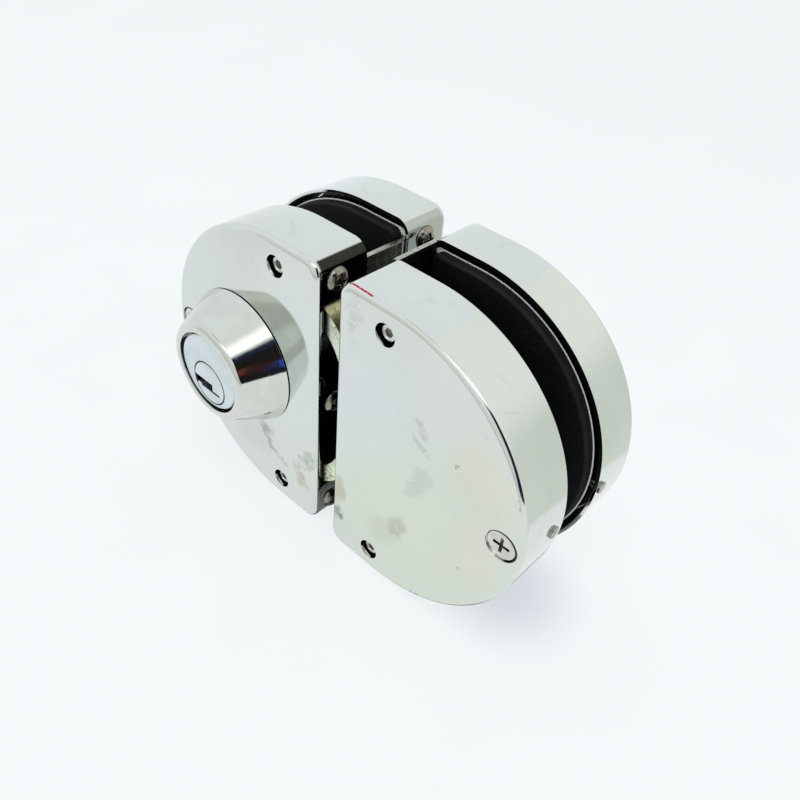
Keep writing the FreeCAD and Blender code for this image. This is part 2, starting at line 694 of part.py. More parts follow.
def make_pad(label, side, web_inner, front, glass_side):
    """A rubber pad with a soft edge on its glass side."""
    body = make_slab(label, side, web_inner, front, "sizes.pad_thickness", "sizes.pad_margin")
    depth = evaluate(glass_side)
    add_edge_feature(body, "Fillet", "sizes.pad_rounding", lambda edge: at_depth(edge, depth))
    return body


def make_clamp(prefix, side, web_inner):
    """Clamp plate and both pads of a unit."""
    make_slab(f"{prefix}_clamp_plate", side, web_inner, "places.clamp_front",
              "sizes.clamp_thickness", "sizes.clamp_margin")
    make_pad(f"{prefix}_front_pad", side, web_inner, "places.glass_front - sizes.pad_thickness",
             "places.glass_front")
    make_pad(f"{prefix}_rear_pad", side, web_inner, "places.glass_rear", "places.glass_rear")


# Fasteners of a unit

def make_unit_screws(prefix, side, web_inner):
    """Set screws, countersunk screws, edge screws and rim screws of a unit."""
    origin = unit_origin(side)
    depth = place("unit_depth")

    def at(u, y, z):
        return Vector(side * u, y, z)

    spread = place("set_screw_z")
    screw = set_screw()
    make_group(f"{prefix}_set_screws", origin, [
        placed(screw, FACING_FRONT, at(size("set_screw_inset"), size("set_screw_sink"), z))
        for z in (spread, -spread)])
    screw = countersunk_screw()
    inset = place("cover_screw_inset")
    sink = size("cover_screw_sink")
    make_group(f"{prefix}_cover_screws", origin, [
        placed(screw, FACING_FRONT, at(inset, sink, 0)),
        placed(screw, FACING_REAR, at(inset, depth - sink, 0))])
    outward = Rotation(Vector(0, 0, 1), Vector(-side, 0, 0))
    length = place(web_inner) + size("edge_screw_spare")
    screw = pan_screw(size("edge_screw_head"), size("edge_screw_head_height"),
                      size("edge_screw_radius"), length)
    spread = place("edge_screw_z")
    make_group(f"{prefix}_edge_screws", origin, [
        placed(screw, outward, at(0, y, z))
        for y in (size("edge_screw_front"), depth - size("edge_screw_rear"))
        for z in (spread, 0, -spread)])
    screw = rim_screw()
    crownward = Rotation(Vector(0, 0, 1), Vector(side, 0, 0))
    make_group(f"{prefix}_rim_screws", origin, [
        placed(screw, crownward, at(size("unit_width"), y, 0))
        for y in (place("rim_front"), place("rim_rear"))])


def make_group(label, origin, shapes):
    """Separate solids that share one sub-part."""
    new_solid(label, shapes, Placement(origin, Rotation()))


# Mechanism plate, standoffs and pivots

def make_mechanism_plate():
    """The bearing plate behind the front cover that carries the cylinder and the pivots."""
    body = new_body("mechanism_plate", LOCK)
    outline = new_sketch(body, "XZ_Plane", "-places.plate_front")
    half = "sizes.plate_height / 2"
    near = f"{LOCK} * sizes.plate_near"
    far = f"{LOCK} * sizes.plate_far"
    draw_outline(outline, rectangle(near, far, f"-{half}", half))
    add_pad(body, outline, "sizes.plate_thickness", True)
    holes = new_sketch(body, "XZ_Plane", "-places.plate_front")
    for x, z, radius in lock_leg_holes()[:-1]:
        draw_circle(holes, x, z, radius)
    axis = f"{LOCK} * sizes.cylinder_inset"
    draw_circle(holes, axis, "places.plug_z", "sizes.clip_radius + sizes.pad_side_play")
    for sign in (1, -1):
        draw_circle(holes, f"{axis} + {sign} * sizes.cylinder_screw_spread / 2",
                    "sizes.cylinder_rise + sizes.cylinder_screw_rise",
                    "sizes.cylinder_screw_radius + sizes.fixed_play")
    add_pocket(body, holes, "sizes.plate_thickness", False)


def make_plate_supports():
    """Standoffs and claw pivots between the mechanism plate and the front leg."""
    plate_front = place("plate_front")
    plate_rear = place("plate_rear")
    leg_front = place("front_leg_front")
    leg_rear = place("front_leg_rear")
    standoffs = []
    x = LOCK * size("standoff_inset")
    for z in (size("standoff_spread") / 2, -size("standoff_spread") / 2):
        rod = cylinder(size("standoff_end_radius"), Vector(x, plate_front, z), Vector(x, leg_rear, z))
        sleeve = cylinder(size("standoff_radius"), Vector(x, plate_rear, z), Vector(x, leg_front, z))
        standoffs.append(rod.fuse(sleeve))
    x = LOCK * size("claw_pivot_inset")
    pivots = [
        cylinder(size("claw_pin_radius"), Vector(x, plate_front, z), Vector(x, leg_rear, z))
        for z in (place("upper_pivot_z"), place("lower_pivot_z"))]
    make_group("mechanism_standoffs", unit_origin(LOCK), standoffs)
    make_group("claw_pivots", unit_origin(LOCK), pivots)


# Gears

def polar(radius, degrees):
    """A point of the XZ plane from its radius and angle."""
    return Vector(radius * math.cos(math.radians(degrees)), 0, radius * math.sin(math.radians(degrees)))


UP = 90.0
DOWN = -90.0
PRESSURE_ANGLE = 20.0
ADDENDUM = 0.9
DEDENDUM = 1.2


def tooth_half_angle(radius, pitch_radius, teeth):
    """Half the angle of an involute tooth at a radius, in degrees."""
    base = pitch_radius * math.cos(math.radians(PRESSURE_ANGLE))

    def involute(at_radius):
        angle = math.acos(min(1.0, base / at_radius))
        return math.tan(angle) - angle

    half = (math.pi * pitch_radius / teeth - size("gear_backlash")) / (2 * pitch_radius)
    return math.degrees(half + involute(pitch_radius) - involute(max(radius, base)))


def gear_sector(pitch_radius, teeth, phase, first, last, front, thickness):
    """Teeth first to last of a gear in the XZ plane, as a solid that reaches its axis."""
    module = 2 * pitch_radius / teeth
    base = pitch_radius * math.cos(math.radians(PRESSURE_ANGLE))
    tip = pitch_radius + ADDENDUM * module
    root = pitch_radius - DEDENDUM * module
    flank_radii = (max(base, root), (max(base, root) + tip) / 2, tip)
    edges = []
    here = Vector(0, 0, 0)
    for number in range(first, last + 1):
        centre = phase + 360.0 * number / teeth
        halves = [tooth_half_angle(radius, pitch_radius, teeth) for radius in flank_radii]
        foot = polar(root, centre - halves[0])
        rising = [polar(radius, centre - half) for radius, half in zip(flank_radii, halves)]
        falling = [polar(radius, centre + half) for radius, half in zip(flank_radii, halves)]
        edges.append(Part.makeLine(here, foot))
        edges.append(Part.makeLine(foot, rising[0]))
        edges.append(Part.Arc(*rising).toShape())
        edges.append(Part.Arc(rising[2], polar(tip, centre), falling[2]).toShape())
        edges.append(Part.Arc(*reversed(falling)).toShape())
        here = polar(root, centre + halves[0])
        edges.append(Part.makeLine(falling[0], here))
    edges.append(Part.makeLine(here, Vector(0, 0, 0)))
    face = Part.Face(Part.Wire(edges))
    sector = face.extrude(Vector(0, thickness, 0))
    sector.translate(Vector(0, front, 0))
    return sector


# Claws

def claw_outline():
    """The hook of the upper claw, seen from the front with its pivot at the origin."""
    nose = size("claw_nose_radius")
    outer = size("claw_outer_radius")
    inner = size("claw_inner_radius")
    step = size("claw_nose_heel")
    slope = math.degrees(math.atan((nose - outer) / nose)) / 2
    heel = size("claw_heel")
    keeper = evaluate(f"{PIVOT_TO_STRIKE} + places.strike_web_inner + sizes.claw_keeper_play")
    tip_z = size("claw_nose_gap") / 2 - place("claw_pivot_z")
    notch_z = size("keeper_height") / 2 + size("claw_side_play") - place("claw_pivot_z")
    tip_angle = math.degrees(math.asin(tip_z / nose))
    notch_angle = math.degrees(math.asin(notch_z / inner))
    notch = Vector(math.sqrt(inner ** 2 - notch_z ** 2), 0, notch_z)
    return Part.Wire([
        Part.makeLine(Vector(keeper, 0, tip_z), polar(nose, tip_angle)),
        Part.Arc(polar(nose, tip_angle), polar(nose, (tip_angle + step) / 2), polar(nose, step)).toShape(),
        Part.makeLine(polar(nose, step), polar(outer, step + slope)),
        Part.Arc(polar(outer, step + slope), polar(outer, (step + heel) / 2), polar(outer, heel)).toShape(),
        Part.makeLine(polar(outer, heel), polar(inner, heel)),
        Part.Arc(polar(inner, heel), polar(inner, (heel + notch_angle) / 2), notch).toShape(),
        Part.makeLine(notch, Vector(keeper, 0, notch_z)),
        Part.makeLine(Vector(keeper, 0, notch_z), Vector(keeper, 0, tip_z)),
    ])


def claw_arm(thickness):
    """The arm that joins the hub of the upper claw to its hook."""
    reach = (size("claw_inner_radius") + size("claw_outer_radius")) / 2
    end = size("claw_heel") - size("claw_arm_setback") + size("claw_arm_width") / 2
    start = end - size("claw_arm_width")
    end = min(end, size("claw_heel"))
    hub = Vector(0, 0, 0)
    arc = Part.Arc(polar(reach, start), polar(reach, (start + end) / 2), polar(reach, end)).toShape()
    outline = [Part.makeLine(hub, polar(reach, start)), arc, Part.makeLine(polar(reach, end), hub)]
    return Part.Face(Part.Wire(outline)).extrude(Vector(0, thickness, 0))


def make_claw(label, upper):
    """A claw with its hub and gear teeth. The lower claw also carries the driven sector."""
    front = place("claw_front")
    rear = place("claw_rear")
    layer = place("gear_layer")
    hook = Part.Face(claw_outline()).extrude(Vector(0, rear - front, 0))
    corners = [edge for edge in hook.Edges
               if edge.BoundBox.YLength > CLOSE and edge.BoundBox.ZMax < 0]
    hook = hook.makeFillet(size("claw_nose_rounding"), corners)
    hook.translate(Vector(0, front, 0))
    arm = claw_arm(layer)
    arm.translate(Vector(0, front, 0))
    claw = hook.fuse(arm)
    if not upper:
        claw = claw.mirror(Vector(0, 0, 0), Vector(0, 0, 1))
    pitch = place("claw_pivot_z")
    teeth = int(size("twin_gear_teeth"))
    swept = math.ceil(size("claw_swing") * teeth / 360.0)
    half_pitch = 180.0 / teeth
    if upper:
        twin = gear_sector(pitch, teeth, DOWN, -swept, 1, front, layer)
    else:
        twin = gear_sector(pitch, teeth, UP - half_pitch, 0, swept + 1, front, layer)
    claw = claw.fuse(twin)
    claw = claw.fuse(cylinder(size("claw_hub_radius"), Vector(0, front, 0), Vector(0, rear, 0)))
    if not upper:
        claw = claw.fuse(driven_sector(rear - layer, layer))
    bore = size("claw_pin_radius") + size("running_play")
    claw = claw.cut(cylinder(bore, Vector(0, front, 0), Vector(0, rear, 0))).removeSplitter()
    height = place("upper_pivot_z") if upper else place("lower_pivot_z")
    new_solid(label, claw.Solids, on_axis(LOCK, size("claw_pivot_inset"), height))


def drive_line():
    """Distance from the key axis to the lower pivot, and the angle of that line in degrees."""
    across = size("cylinder_inset") - size("claw_pivot_inset")
    down = place("lower_pivot_z") - place("plug_z")
    return math.hypot(across, down), math.degrees(math.atan2(down, across))


def drive_pitch_radii():
    """Pitch radii of the key gear and of the claw gear that it turns."""
    distance, _ = drive_line()
    share = size("key_gear_teeth") / (size("key_gear_teeth") + size("claw_gear_teeth"))
    return distance * share, distance * (1 - share)


def driven_sector(front, thickness):
    """Teeth of the lower claw that the key turns."""
    _, line = drive_line()
    _, pitch = drive_pitch_radii()
    teeth = int(size("claw_gear_teeth"))
    swept = math.ceil(size("claw_swing") * teeth / 360.0)
    phase = line + 180.0 - 180.0 / teeth
    return gear_sector(pitch, teeth, phase, 0, swept + 1, front, thickness)


# Cylinder, plug and what turns with the key

def make_drive_sector():
    """Toothed sector behind the cylinder, turned by the tailpiece."""
    _, line = drive_line()
    pitch, _ = drive_pitch_radii()
    front = place("claw_front")
    rear = place("claw_rear")
    layer = place("gear_layer")
    teeth = int(size("key_gear_teeth"))
    swept = math.ceil(size("key_turn") * teeth / 360.0)
    sector = gear_sector(pitch, teeth, line, -swept - 1, 1, rear - layer, layer)
    hub = cylinder(size("drive_hub_radius"), Vector(0, front, 0), Vector(0, rear, 0))
    stub = cylinder(size("drive_stub_radius"), Vector(0, rear, 0),
                    Vector(0, place("front_leg_rear") - size("clamp_play"), 0))
    half_width = size("tail_width") / 2 + size("tail_play")
    half_height = size("tail_thickness") / 2 + size("tail_play")
    slot_end = rear - size("tail_play")
    slot = block(Vector(-half_width, front, -half_height), Vector(half_width, slot_end, half_height))
    solid = sector.fuse(hub).fuse(stub).cut(slot).removeSplitter()
    new_solid("drive_sector", solid.Solids, on_axis(LOCK, size("cylinder_inset"), place("plug_z")))


def keyway_solid():
    """The keyway: tall and open at the side of the plug, with a ward, and low beyond its axis."""
    left = -size("keyway_width") / 2 - size("keyway_shift")
    right = left + size("keyway_width")
    low = -size("keyway_drop") - size("keyway_height") / 2
    high = low + size("keyway_height")
    step = right - size("keyway_tongue")
    step_high = low + size("keyway_tongue_height")
    ward = size("keyway_ward")
    ward_left = left + 2 * ward
    ward_right = ward_left + 2 * ward
    corners = [
        (left, low), (ward_left, low), (ward_left, low + ward), (ward_right, low + ward),
        (ward_right, low), (right, low), (right, step_high), (step, step_high), (step, high), (left, high),
    ]
    points = [Vector(x, -size("cylinder_reach"), z) for x, z in corners]
    face = Part.Face(Part.makePolygon(points + points[:1]))
    return face.extrude(Vector(0, size("keyway_depth"), 0))


def pin_depths():
    """Depths of the four pin chambers."""
    start = size("pin_first") - size("cylinder_reach")
    return [start + number * size("pin_pitch") for number in range(PIN_CHAMBERS)]


PIN_CHAMBERS = 4


def upright(radius, depth, low, high):
    """A pin that stands upright at a depth."""
    return cylinder(radius, Vector(0, depth, low), Vector(0, depth, high))


def make_plug():
    """The plug that the key turns, with its keyway, pin bores, neck and tail slot."""
    radius = size("plug_radius")
    front = -size("cylinder_reach")
    rear = place("plate_front")
    end = rear + size("plug_neck_length")
    plug = cylinder(radius, Vector(0, front, 0), Vector(0, rear, 0))
    plug = plug.makeChamfer(size("plug_edge"), [edge for edge in plug.Edges if at_depth(edge, front)])
    plug = plug.fuse(cylinder(size("plug_neck_radius"), Vector(0, rear, 0), Vector(0, end, 0)))
    plug = plug.cut(keyway_solid())
    bore = size("pin_radius") + size("pin_play")
    for depth in pin_depths():
        plug = plug.cut(upright(bore, depth, -size("keyway_drop"), radius + bore))
    half_width = size("tail_width") / 2 + size("tail_play")
    half_height = size("tail_thickness") / 2 + size("tail_play")
    slot_front = rear - size("tail_seat") - size("tail_play")
    tail_slot = block(Vector(-half_width, slot_front, -half_height), Vector(half_width, end, half_height))
    groove_width = size("clip_thickness") + size("clip_play")
    groove = ring(clip_groove_radius(), radius, rear + size("clip_play"), groove_width)
    new_solid("cylinder_plug", plug.cut(tail_slot).cut(groove).Solids, key_axis())


def key_axis():
    """Placement on the axis of the plug."""
    return on_axis(LOCK, size("cylinder_inset"), place("plug_z"))


def clip_groove_radius():
    """Bottom of the groove in the neck that the clip snaps into."""
    return size("plug_neck_radius") - size("ring_seat")


def ring(inner, outer, front, thickness):
    """A flat ring about the Y axis."""
    start = Vector(0, front, 0)
    end = Vector(0, front + thickness, 0)
    return cylinder(outer, start, end).cut(cylinder(inner, start, end))


def open_ring(inner, outer, front, thickness):
    """A flat ring with an opening at its bottom, as on a circlip."""
    half = size("clip_opening") / 2
    corners = [Vector(0, front, 0)] + [
        Vector(2 * outer * math.sin(math.radians(angle)), front, -2 * outer * math.cos(math.radians(angle)))
        for angle in (-half, 0, half)]
    wedge = Part.Face(Part.makePolygon(corners + corners[:1])).extrude(Vector(0, thickness, 0))
    return ring(inner, outer, front, thickness).cut(wedge)


def make_tailpiece():
    """Flat blade that carries the turn of the plug to the drive sector."""
    half_width = size("tail_width") / 2
    half_height = size("tail_thickness") / 2
    start = place("plate_front") - size("tail_seat")
    end = place("claw_rear") - 2 * size("tail_play")
    blade = block(Vector(-half_width, start, -half_height), Vector(half_width, end, half_height))
    new_solid("tailpiece", [blade], key_axis())


def make_plug_clip():
    """Circlip behind the cylinder that keeps the plug in."""
    inner = clip_groove_radius() + size("fixed_play")
    front = place("plate_front") + size("clip_play") * 1.5
    new_solid("plug_clip", [open_ring(inner, size("clip_radius"), front, size("clip_thickness"))], key_axis())


def make_pins():
    """Key pins, driver pins, springs and caps of the pin chambers, about the plug axis."""
    radius = size("pin_radius")
    plug_radius = size("plug_radius")
    keyway_top = size("keyway_height") / 2 - size("keyway_drop")
    shear = plug_radius - 2 * size("pin_play")
    driver_low = plug_radius + 2 * size("pin_play")
    driver_high = driver_low + size("driver_length")
    cap_high = size("plug_drop") + size("cylinder_radius") - size("cap_depth")
    cap_low = cap_high - size("cap_thickness")
    gap = size("pin_play")
    key_pins = []
    drivers = []
    springs = []
    caps = []
    for depth in pin_depths():
        key_pins.append(upright(radius, depth, keyway_top + gap, shear))
        drivers.append(upright(radius, depth, driver_low, driver_high))
        coil = upright(radius, depth, driver_high + gap, cap_low - gap)
        core = upright(radius - size("spring_wire"), depth, driver_high + gap, cap_low - gap)
        springs.append(coil.cut(core))
        caps.append(upright(radius + gap - size("fixed_play"), depth, cap_low, cap_high))
    for label, shapes in (("key_pins", key_pins), ("driver_pins", drivers),
                          ("pin_springs", springs), ("chamber_caps", caps)):
        new_solid(label, shapes, key_axis())


def make_cylinder_body():
    """The fixed body of the cylinder, about the cylinder axis."""
    radius = size("cylinder_radius")
    front = -size("cylinder_reach")
    rear = place("plate_front")
    body = cylinder(radius, Vector(0, front, 0), Vector(0, rear, 0))
    face_edge = [edge for edge in body.Edges if at_depth(edge, front)]
    body = body.makeChamfer(size("cylinder_edge"), face_edge)
    bore_radius = size("plug_radius") + size("running_play")
    bore_front = Vector(0, front, -size("plug_drop"))
    bore_rear = Vector(0, rear, -size("plug_drop"))
    bevel = size("plug_edge")
    mouth = Part.makeCone(bore_radius + bevel, bore_radius, bevel, bore_front, Vector(0, 1, 0))
    body = body.cut(cylinder(bore_radius, bore_front, bore_rear)).cut(mouth)
    chamber = size("pin_radius") + size("pin_play")
    for depth in pin_depths():
        body = body.cut(upright(chamber, depth, 0, radius + chamber))
    seat = ring(radius - size("ring_seat"), radius + size("ring_seat"), place("ring_front"),
                size("ring_thickness") + size("ring_play"))
    body = body.cut(seat)
    shank = size("cylinder_screw_radius") + size("fixed_play")
    for start in cylinder_screw_starts():
        depth = Vector(0, size("cylinder_screw_length") - size("plate_thickness") + size("clip_play"), 0)
        seat_point = Vector(start.x, rear, start.z)
        body = body.cut(cylinder(shank, seat_point - depth, seat_point))
    placement = on_axis(LOCK, size("cylinder_inset"), size("cylinder_rise"))
    new_solid("cylinder_body", body.Solids, placement)


def cylinder_screw_starts():
    """Where the heads of the cylinder screws seat, about the cylinder axis."""
    half = size("cylinder_screw_spread") / 2
    rise = size("cylinder_screw_rise")
    return [Vector(sign * half, place("plate_rear"), rise) for sign in (1, -1)]


def make_cylinder_screws():
    """The two screws that hold the cylinder against the mechanism plate."""
    screw = pan_screw(size("cylinder_screw_head"), size("cylinder_screw_head_height"),
                      size("cylinder_screw_radius"), size("cylinder_screw_length"))
    origin = unit_origin(LOCK) + Vector(LOCK * size("cylinder_inset"), 0, size("cylinder_rise"))
    make_group("cylinder_screws", origin, [
        placed(screw, FACING_REAR, start) for start in cylinder_screw_starts()])


def make_guard():
    """The polished cone that turns freely round the cylinder."""
    body = new_body("cone_guard", LOCK)
    body.setExpression("Placement.Base.x", f"{LOCK} * (sizes.meeting_gap / 2 + sizes.cylinder_inset)")
    body.setExpression("Placement.Base.z", "places.half_height + sizes.cylinder_rise")
    profile = new_sketch(body, "XY_Plane", "0")
    bore = "(sizes.cylinder_radius + sizes.guard_play)"
    lip_end = "(sizes.guard_lip_length - sizes.guard_reach)"
    base = "-sizes.guard_float"
    front = "-sizes.guard_reach"
    draw_outline(profile, (
        ("sizes.guard_base_radius - sizes.guard_wall", base),
        ("sizes.guard_base_radius", base),
        ("sizes.guard_front_radius", front),
        (bore, front),
        (bore, lip_end),
        (f"{bore} + sizes.guard_lip_step", lip_end),
    ))
    turned = body.newObject("PartDesign::Revolution", "cone_guard_turned")
    turned.Profile = profile
    turned.ReferenceAxis = (profile, ["V_Axis"])
    turned.Angle = 360.0
    outer = size("guard_front_radius")
    reach = size("guard_reach")
    add_edge_feature(
        body, "Fillet", "sizes.guard_rounding",
        lambda edge: at_depth(edge, -reach) and abs(edge.BoundBox.ZLength / 2 - outer) < CLOSE)


def make_snap_ring():
    """Open ring in a groove of the cylinder, behind the lip of the guard."""
    inner = size("cylinder_radius") - size("ring_seat") + size("fixed_play")
    front = place("ring_front") + size("ring_play") / 2
    shape = open_ring(inner, inner + size("ring_height"), front, size("ring_thickness"))
    new_solid("guard_snap_ring", [shape], on_axis(LOCK, size("cylinder_inset"), size("cylinder_rise")))


# The lock unit

make_front_cover("lock_front_cover", LOCK, LOCK_WALL_SLOT, True)
make_rear_cover("lock_rear_cover", LOCK)
make_chassis("lock_chassis", LOCK, "places.lock_web_inner", "sizes.lock_web_dip",
             LOCK_WEB_SLOT, lock_leg_holes())
make_clamp("lock", LOCK, "places.lock_web_inner")
make_unit_screws("lock", LOCK, "lock_web_inner")
make_mechanism_plate()
make_plate_supports()
make_claw("upper_claw", True)
make_claw("lower_claw", False)
make_cylinder_body()
make_cylinder_screws()
make_plug()
make_tailpiece()
make_plug_clip()
make_drive_sector()
make_pins()
make_guard()
make_snap_ring()

# The strike unit

make_front_cover("strike_front_cover", STRIKE, STRIKE_SLOT, False)
make_rear_cover("strike_rear_cover", STRIKE)
make_chassis("strike_chassis", STRIKE, "places.strike_web_inner", "sizes.strike_web_dip",
             STRIKE_SLOT, [])
make_clamp("strike", STRIKE, "places.strike_web_inner")
make_unit_screws("strike", STRIKE, "strike_web_inner")

doc.recompute()

# Check, then write one file per sub-part

for item in doc.Objects:
    if {"Invalid", "Error"} & set(item.State):
        raise RuntimeError(f"{item.Name} failed: {item.State}")
for node in nodes:
    if node.Shape.isNull() or not node.Shape.isValid() or not node.Shape.Solids:
        raise RuntimeError(f"{node.Label} has no valid shape")

os.makedirs("parts", exist_ok=True)
for node in nodes:
    node.Shape.exportStep(os.path.join("parts", f"{node.Label}.step"))
    print(f"{node.Label}: {len(node.Shape.Solids)} solid(s), {node.Shape.Volume:.1f} mm3")
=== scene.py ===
"""Looks of a clamp-on lock for two glass doors.

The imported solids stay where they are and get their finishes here. The key pins' springs are wound as
real coils. The lock stands on a pale floor, lit by one overhead panel, as a small product photograph.
"""

import logging
import math
from collections.abc import Mapping, Sequence
from dataclasses import dataclass
from enum import Enum

import bmesh
import bpy
from mathutils import Matrix, Vector


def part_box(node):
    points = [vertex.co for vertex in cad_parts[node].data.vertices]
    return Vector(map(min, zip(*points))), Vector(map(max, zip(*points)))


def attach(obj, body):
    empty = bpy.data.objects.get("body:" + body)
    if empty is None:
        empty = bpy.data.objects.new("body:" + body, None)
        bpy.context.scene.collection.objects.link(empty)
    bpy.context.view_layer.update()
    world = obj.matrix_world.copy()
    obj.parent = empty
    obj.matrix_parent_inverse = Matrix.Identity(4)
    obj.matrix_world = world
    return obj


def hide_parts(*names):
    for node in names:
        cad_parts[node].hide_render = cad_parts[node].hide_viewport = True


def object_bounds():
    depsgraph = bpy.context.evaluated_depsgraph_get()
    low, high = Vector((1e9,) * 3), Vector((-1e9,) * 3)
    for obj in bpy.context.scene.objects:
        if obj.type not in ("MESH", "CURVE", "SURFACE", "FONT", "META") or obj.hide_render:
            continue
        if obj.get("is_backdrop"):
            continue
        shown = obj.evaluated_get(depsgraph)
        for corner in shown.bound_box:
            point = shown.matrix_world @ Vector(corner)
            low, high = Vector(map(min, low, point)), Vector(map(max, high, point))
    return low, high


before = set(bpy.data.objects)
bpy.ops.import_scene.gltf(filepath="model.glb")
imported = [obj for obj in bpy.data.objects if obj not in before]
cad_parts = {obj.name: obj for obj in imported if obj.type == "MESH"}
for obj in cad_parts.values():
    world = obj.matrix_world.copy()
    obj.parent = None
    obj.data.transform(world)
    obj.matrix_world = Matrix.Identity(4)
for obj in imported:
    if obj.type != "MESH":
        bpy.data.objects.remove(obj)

log = logging.getLogger("glass_door_lock")

MM = 0.001

Colour = tuple[float, float, float]


class Side(Enum):
    """Which unit a piece belongs to; the value is its direction along X."""

    LOCK = -1
    STRIKE = 1

    @property
    def prefix(self) -> str:
        """The first word of the unit's node names."""
        return self.name.lower()


class Wire:
    """A shader socket that sums can be written on."""

    def __init__(self, graph: "Graph", socket: bpy.types.NodeSocket) -> None:
        """Wraps a socket.

        Args:
            graph: The graph that the socket is in.
            socket: The output socket.
        """
        self.graph = graph
        self.socket = socket

    def sum(self, operation: str, *values: object) -> "Wire":
        """One Math node.

        Args:
            operation: Blender's name of the operation.
            *values: Its inputs, in order.

        Returns:
            The node's output.
        """
        return self.graph.node("ShaderNodeMath", {"operation": operation}, dict(enumerate(values)))

    def __add__(self, other: object) -> "Wire":
        """self + other."""
        return self.sum("ADD", self, other)

    __radd__ = __add__

    def __sub__(self, other: object) -> "Wire":
        """self - other."""
        return self.sum("SUBTRACT", self, other)

    def __rsub__(self, other: object) -> "Wire":
        """other - self."""
        return self.sum("SUBTRACT", other, self)

    def __mul__(self, other: object) -> "Wire":
        """self * other."""
        return self.sum("MULTIPLY", self, other)

    __rmul__ = __mul__

    def __truediv__(self, other: object) -> "Wire":
        """self / other."""
        return self.sum("DIVIDE", self, other)

    def __pow__(self, other: object) -> "Wire":
        """self to the power other."""
        return self.sum("POWER", self, other)

    def __abs__(self) -> "Wire":
        """Its size without the sign."""
        return self.sum("ABSOLUTE", self)

    def most(self, other: object) -> "Wire":
        """The larger of the two."""
        return self.sum("MAXIMUM", self, other)

    def least(self, other: object) -> "Wire":
        """The smaller of the two."""
        return self.sum("MINIMUM", self, other)

    def rise(self, low: float, high: float) -> "Wire":
        """A smooth step.

        Args:
            low: Where it leaves 0.
            high: Where it reaches 1; below low, the step falls instead.

        Returns:
            A mask from 0 to 1.
        """
        first, last = (0.0, 1.0) if low < high else (1.0, 0.0)
        return self.graph.node("ShaderNodeMapRange", {"interpolation_type": "SMOOTHSTEP"}, {
            "Value": self, "From Min": min(low, high), "From Max": max(low, high),
            "To Min": first, "To Max": last})


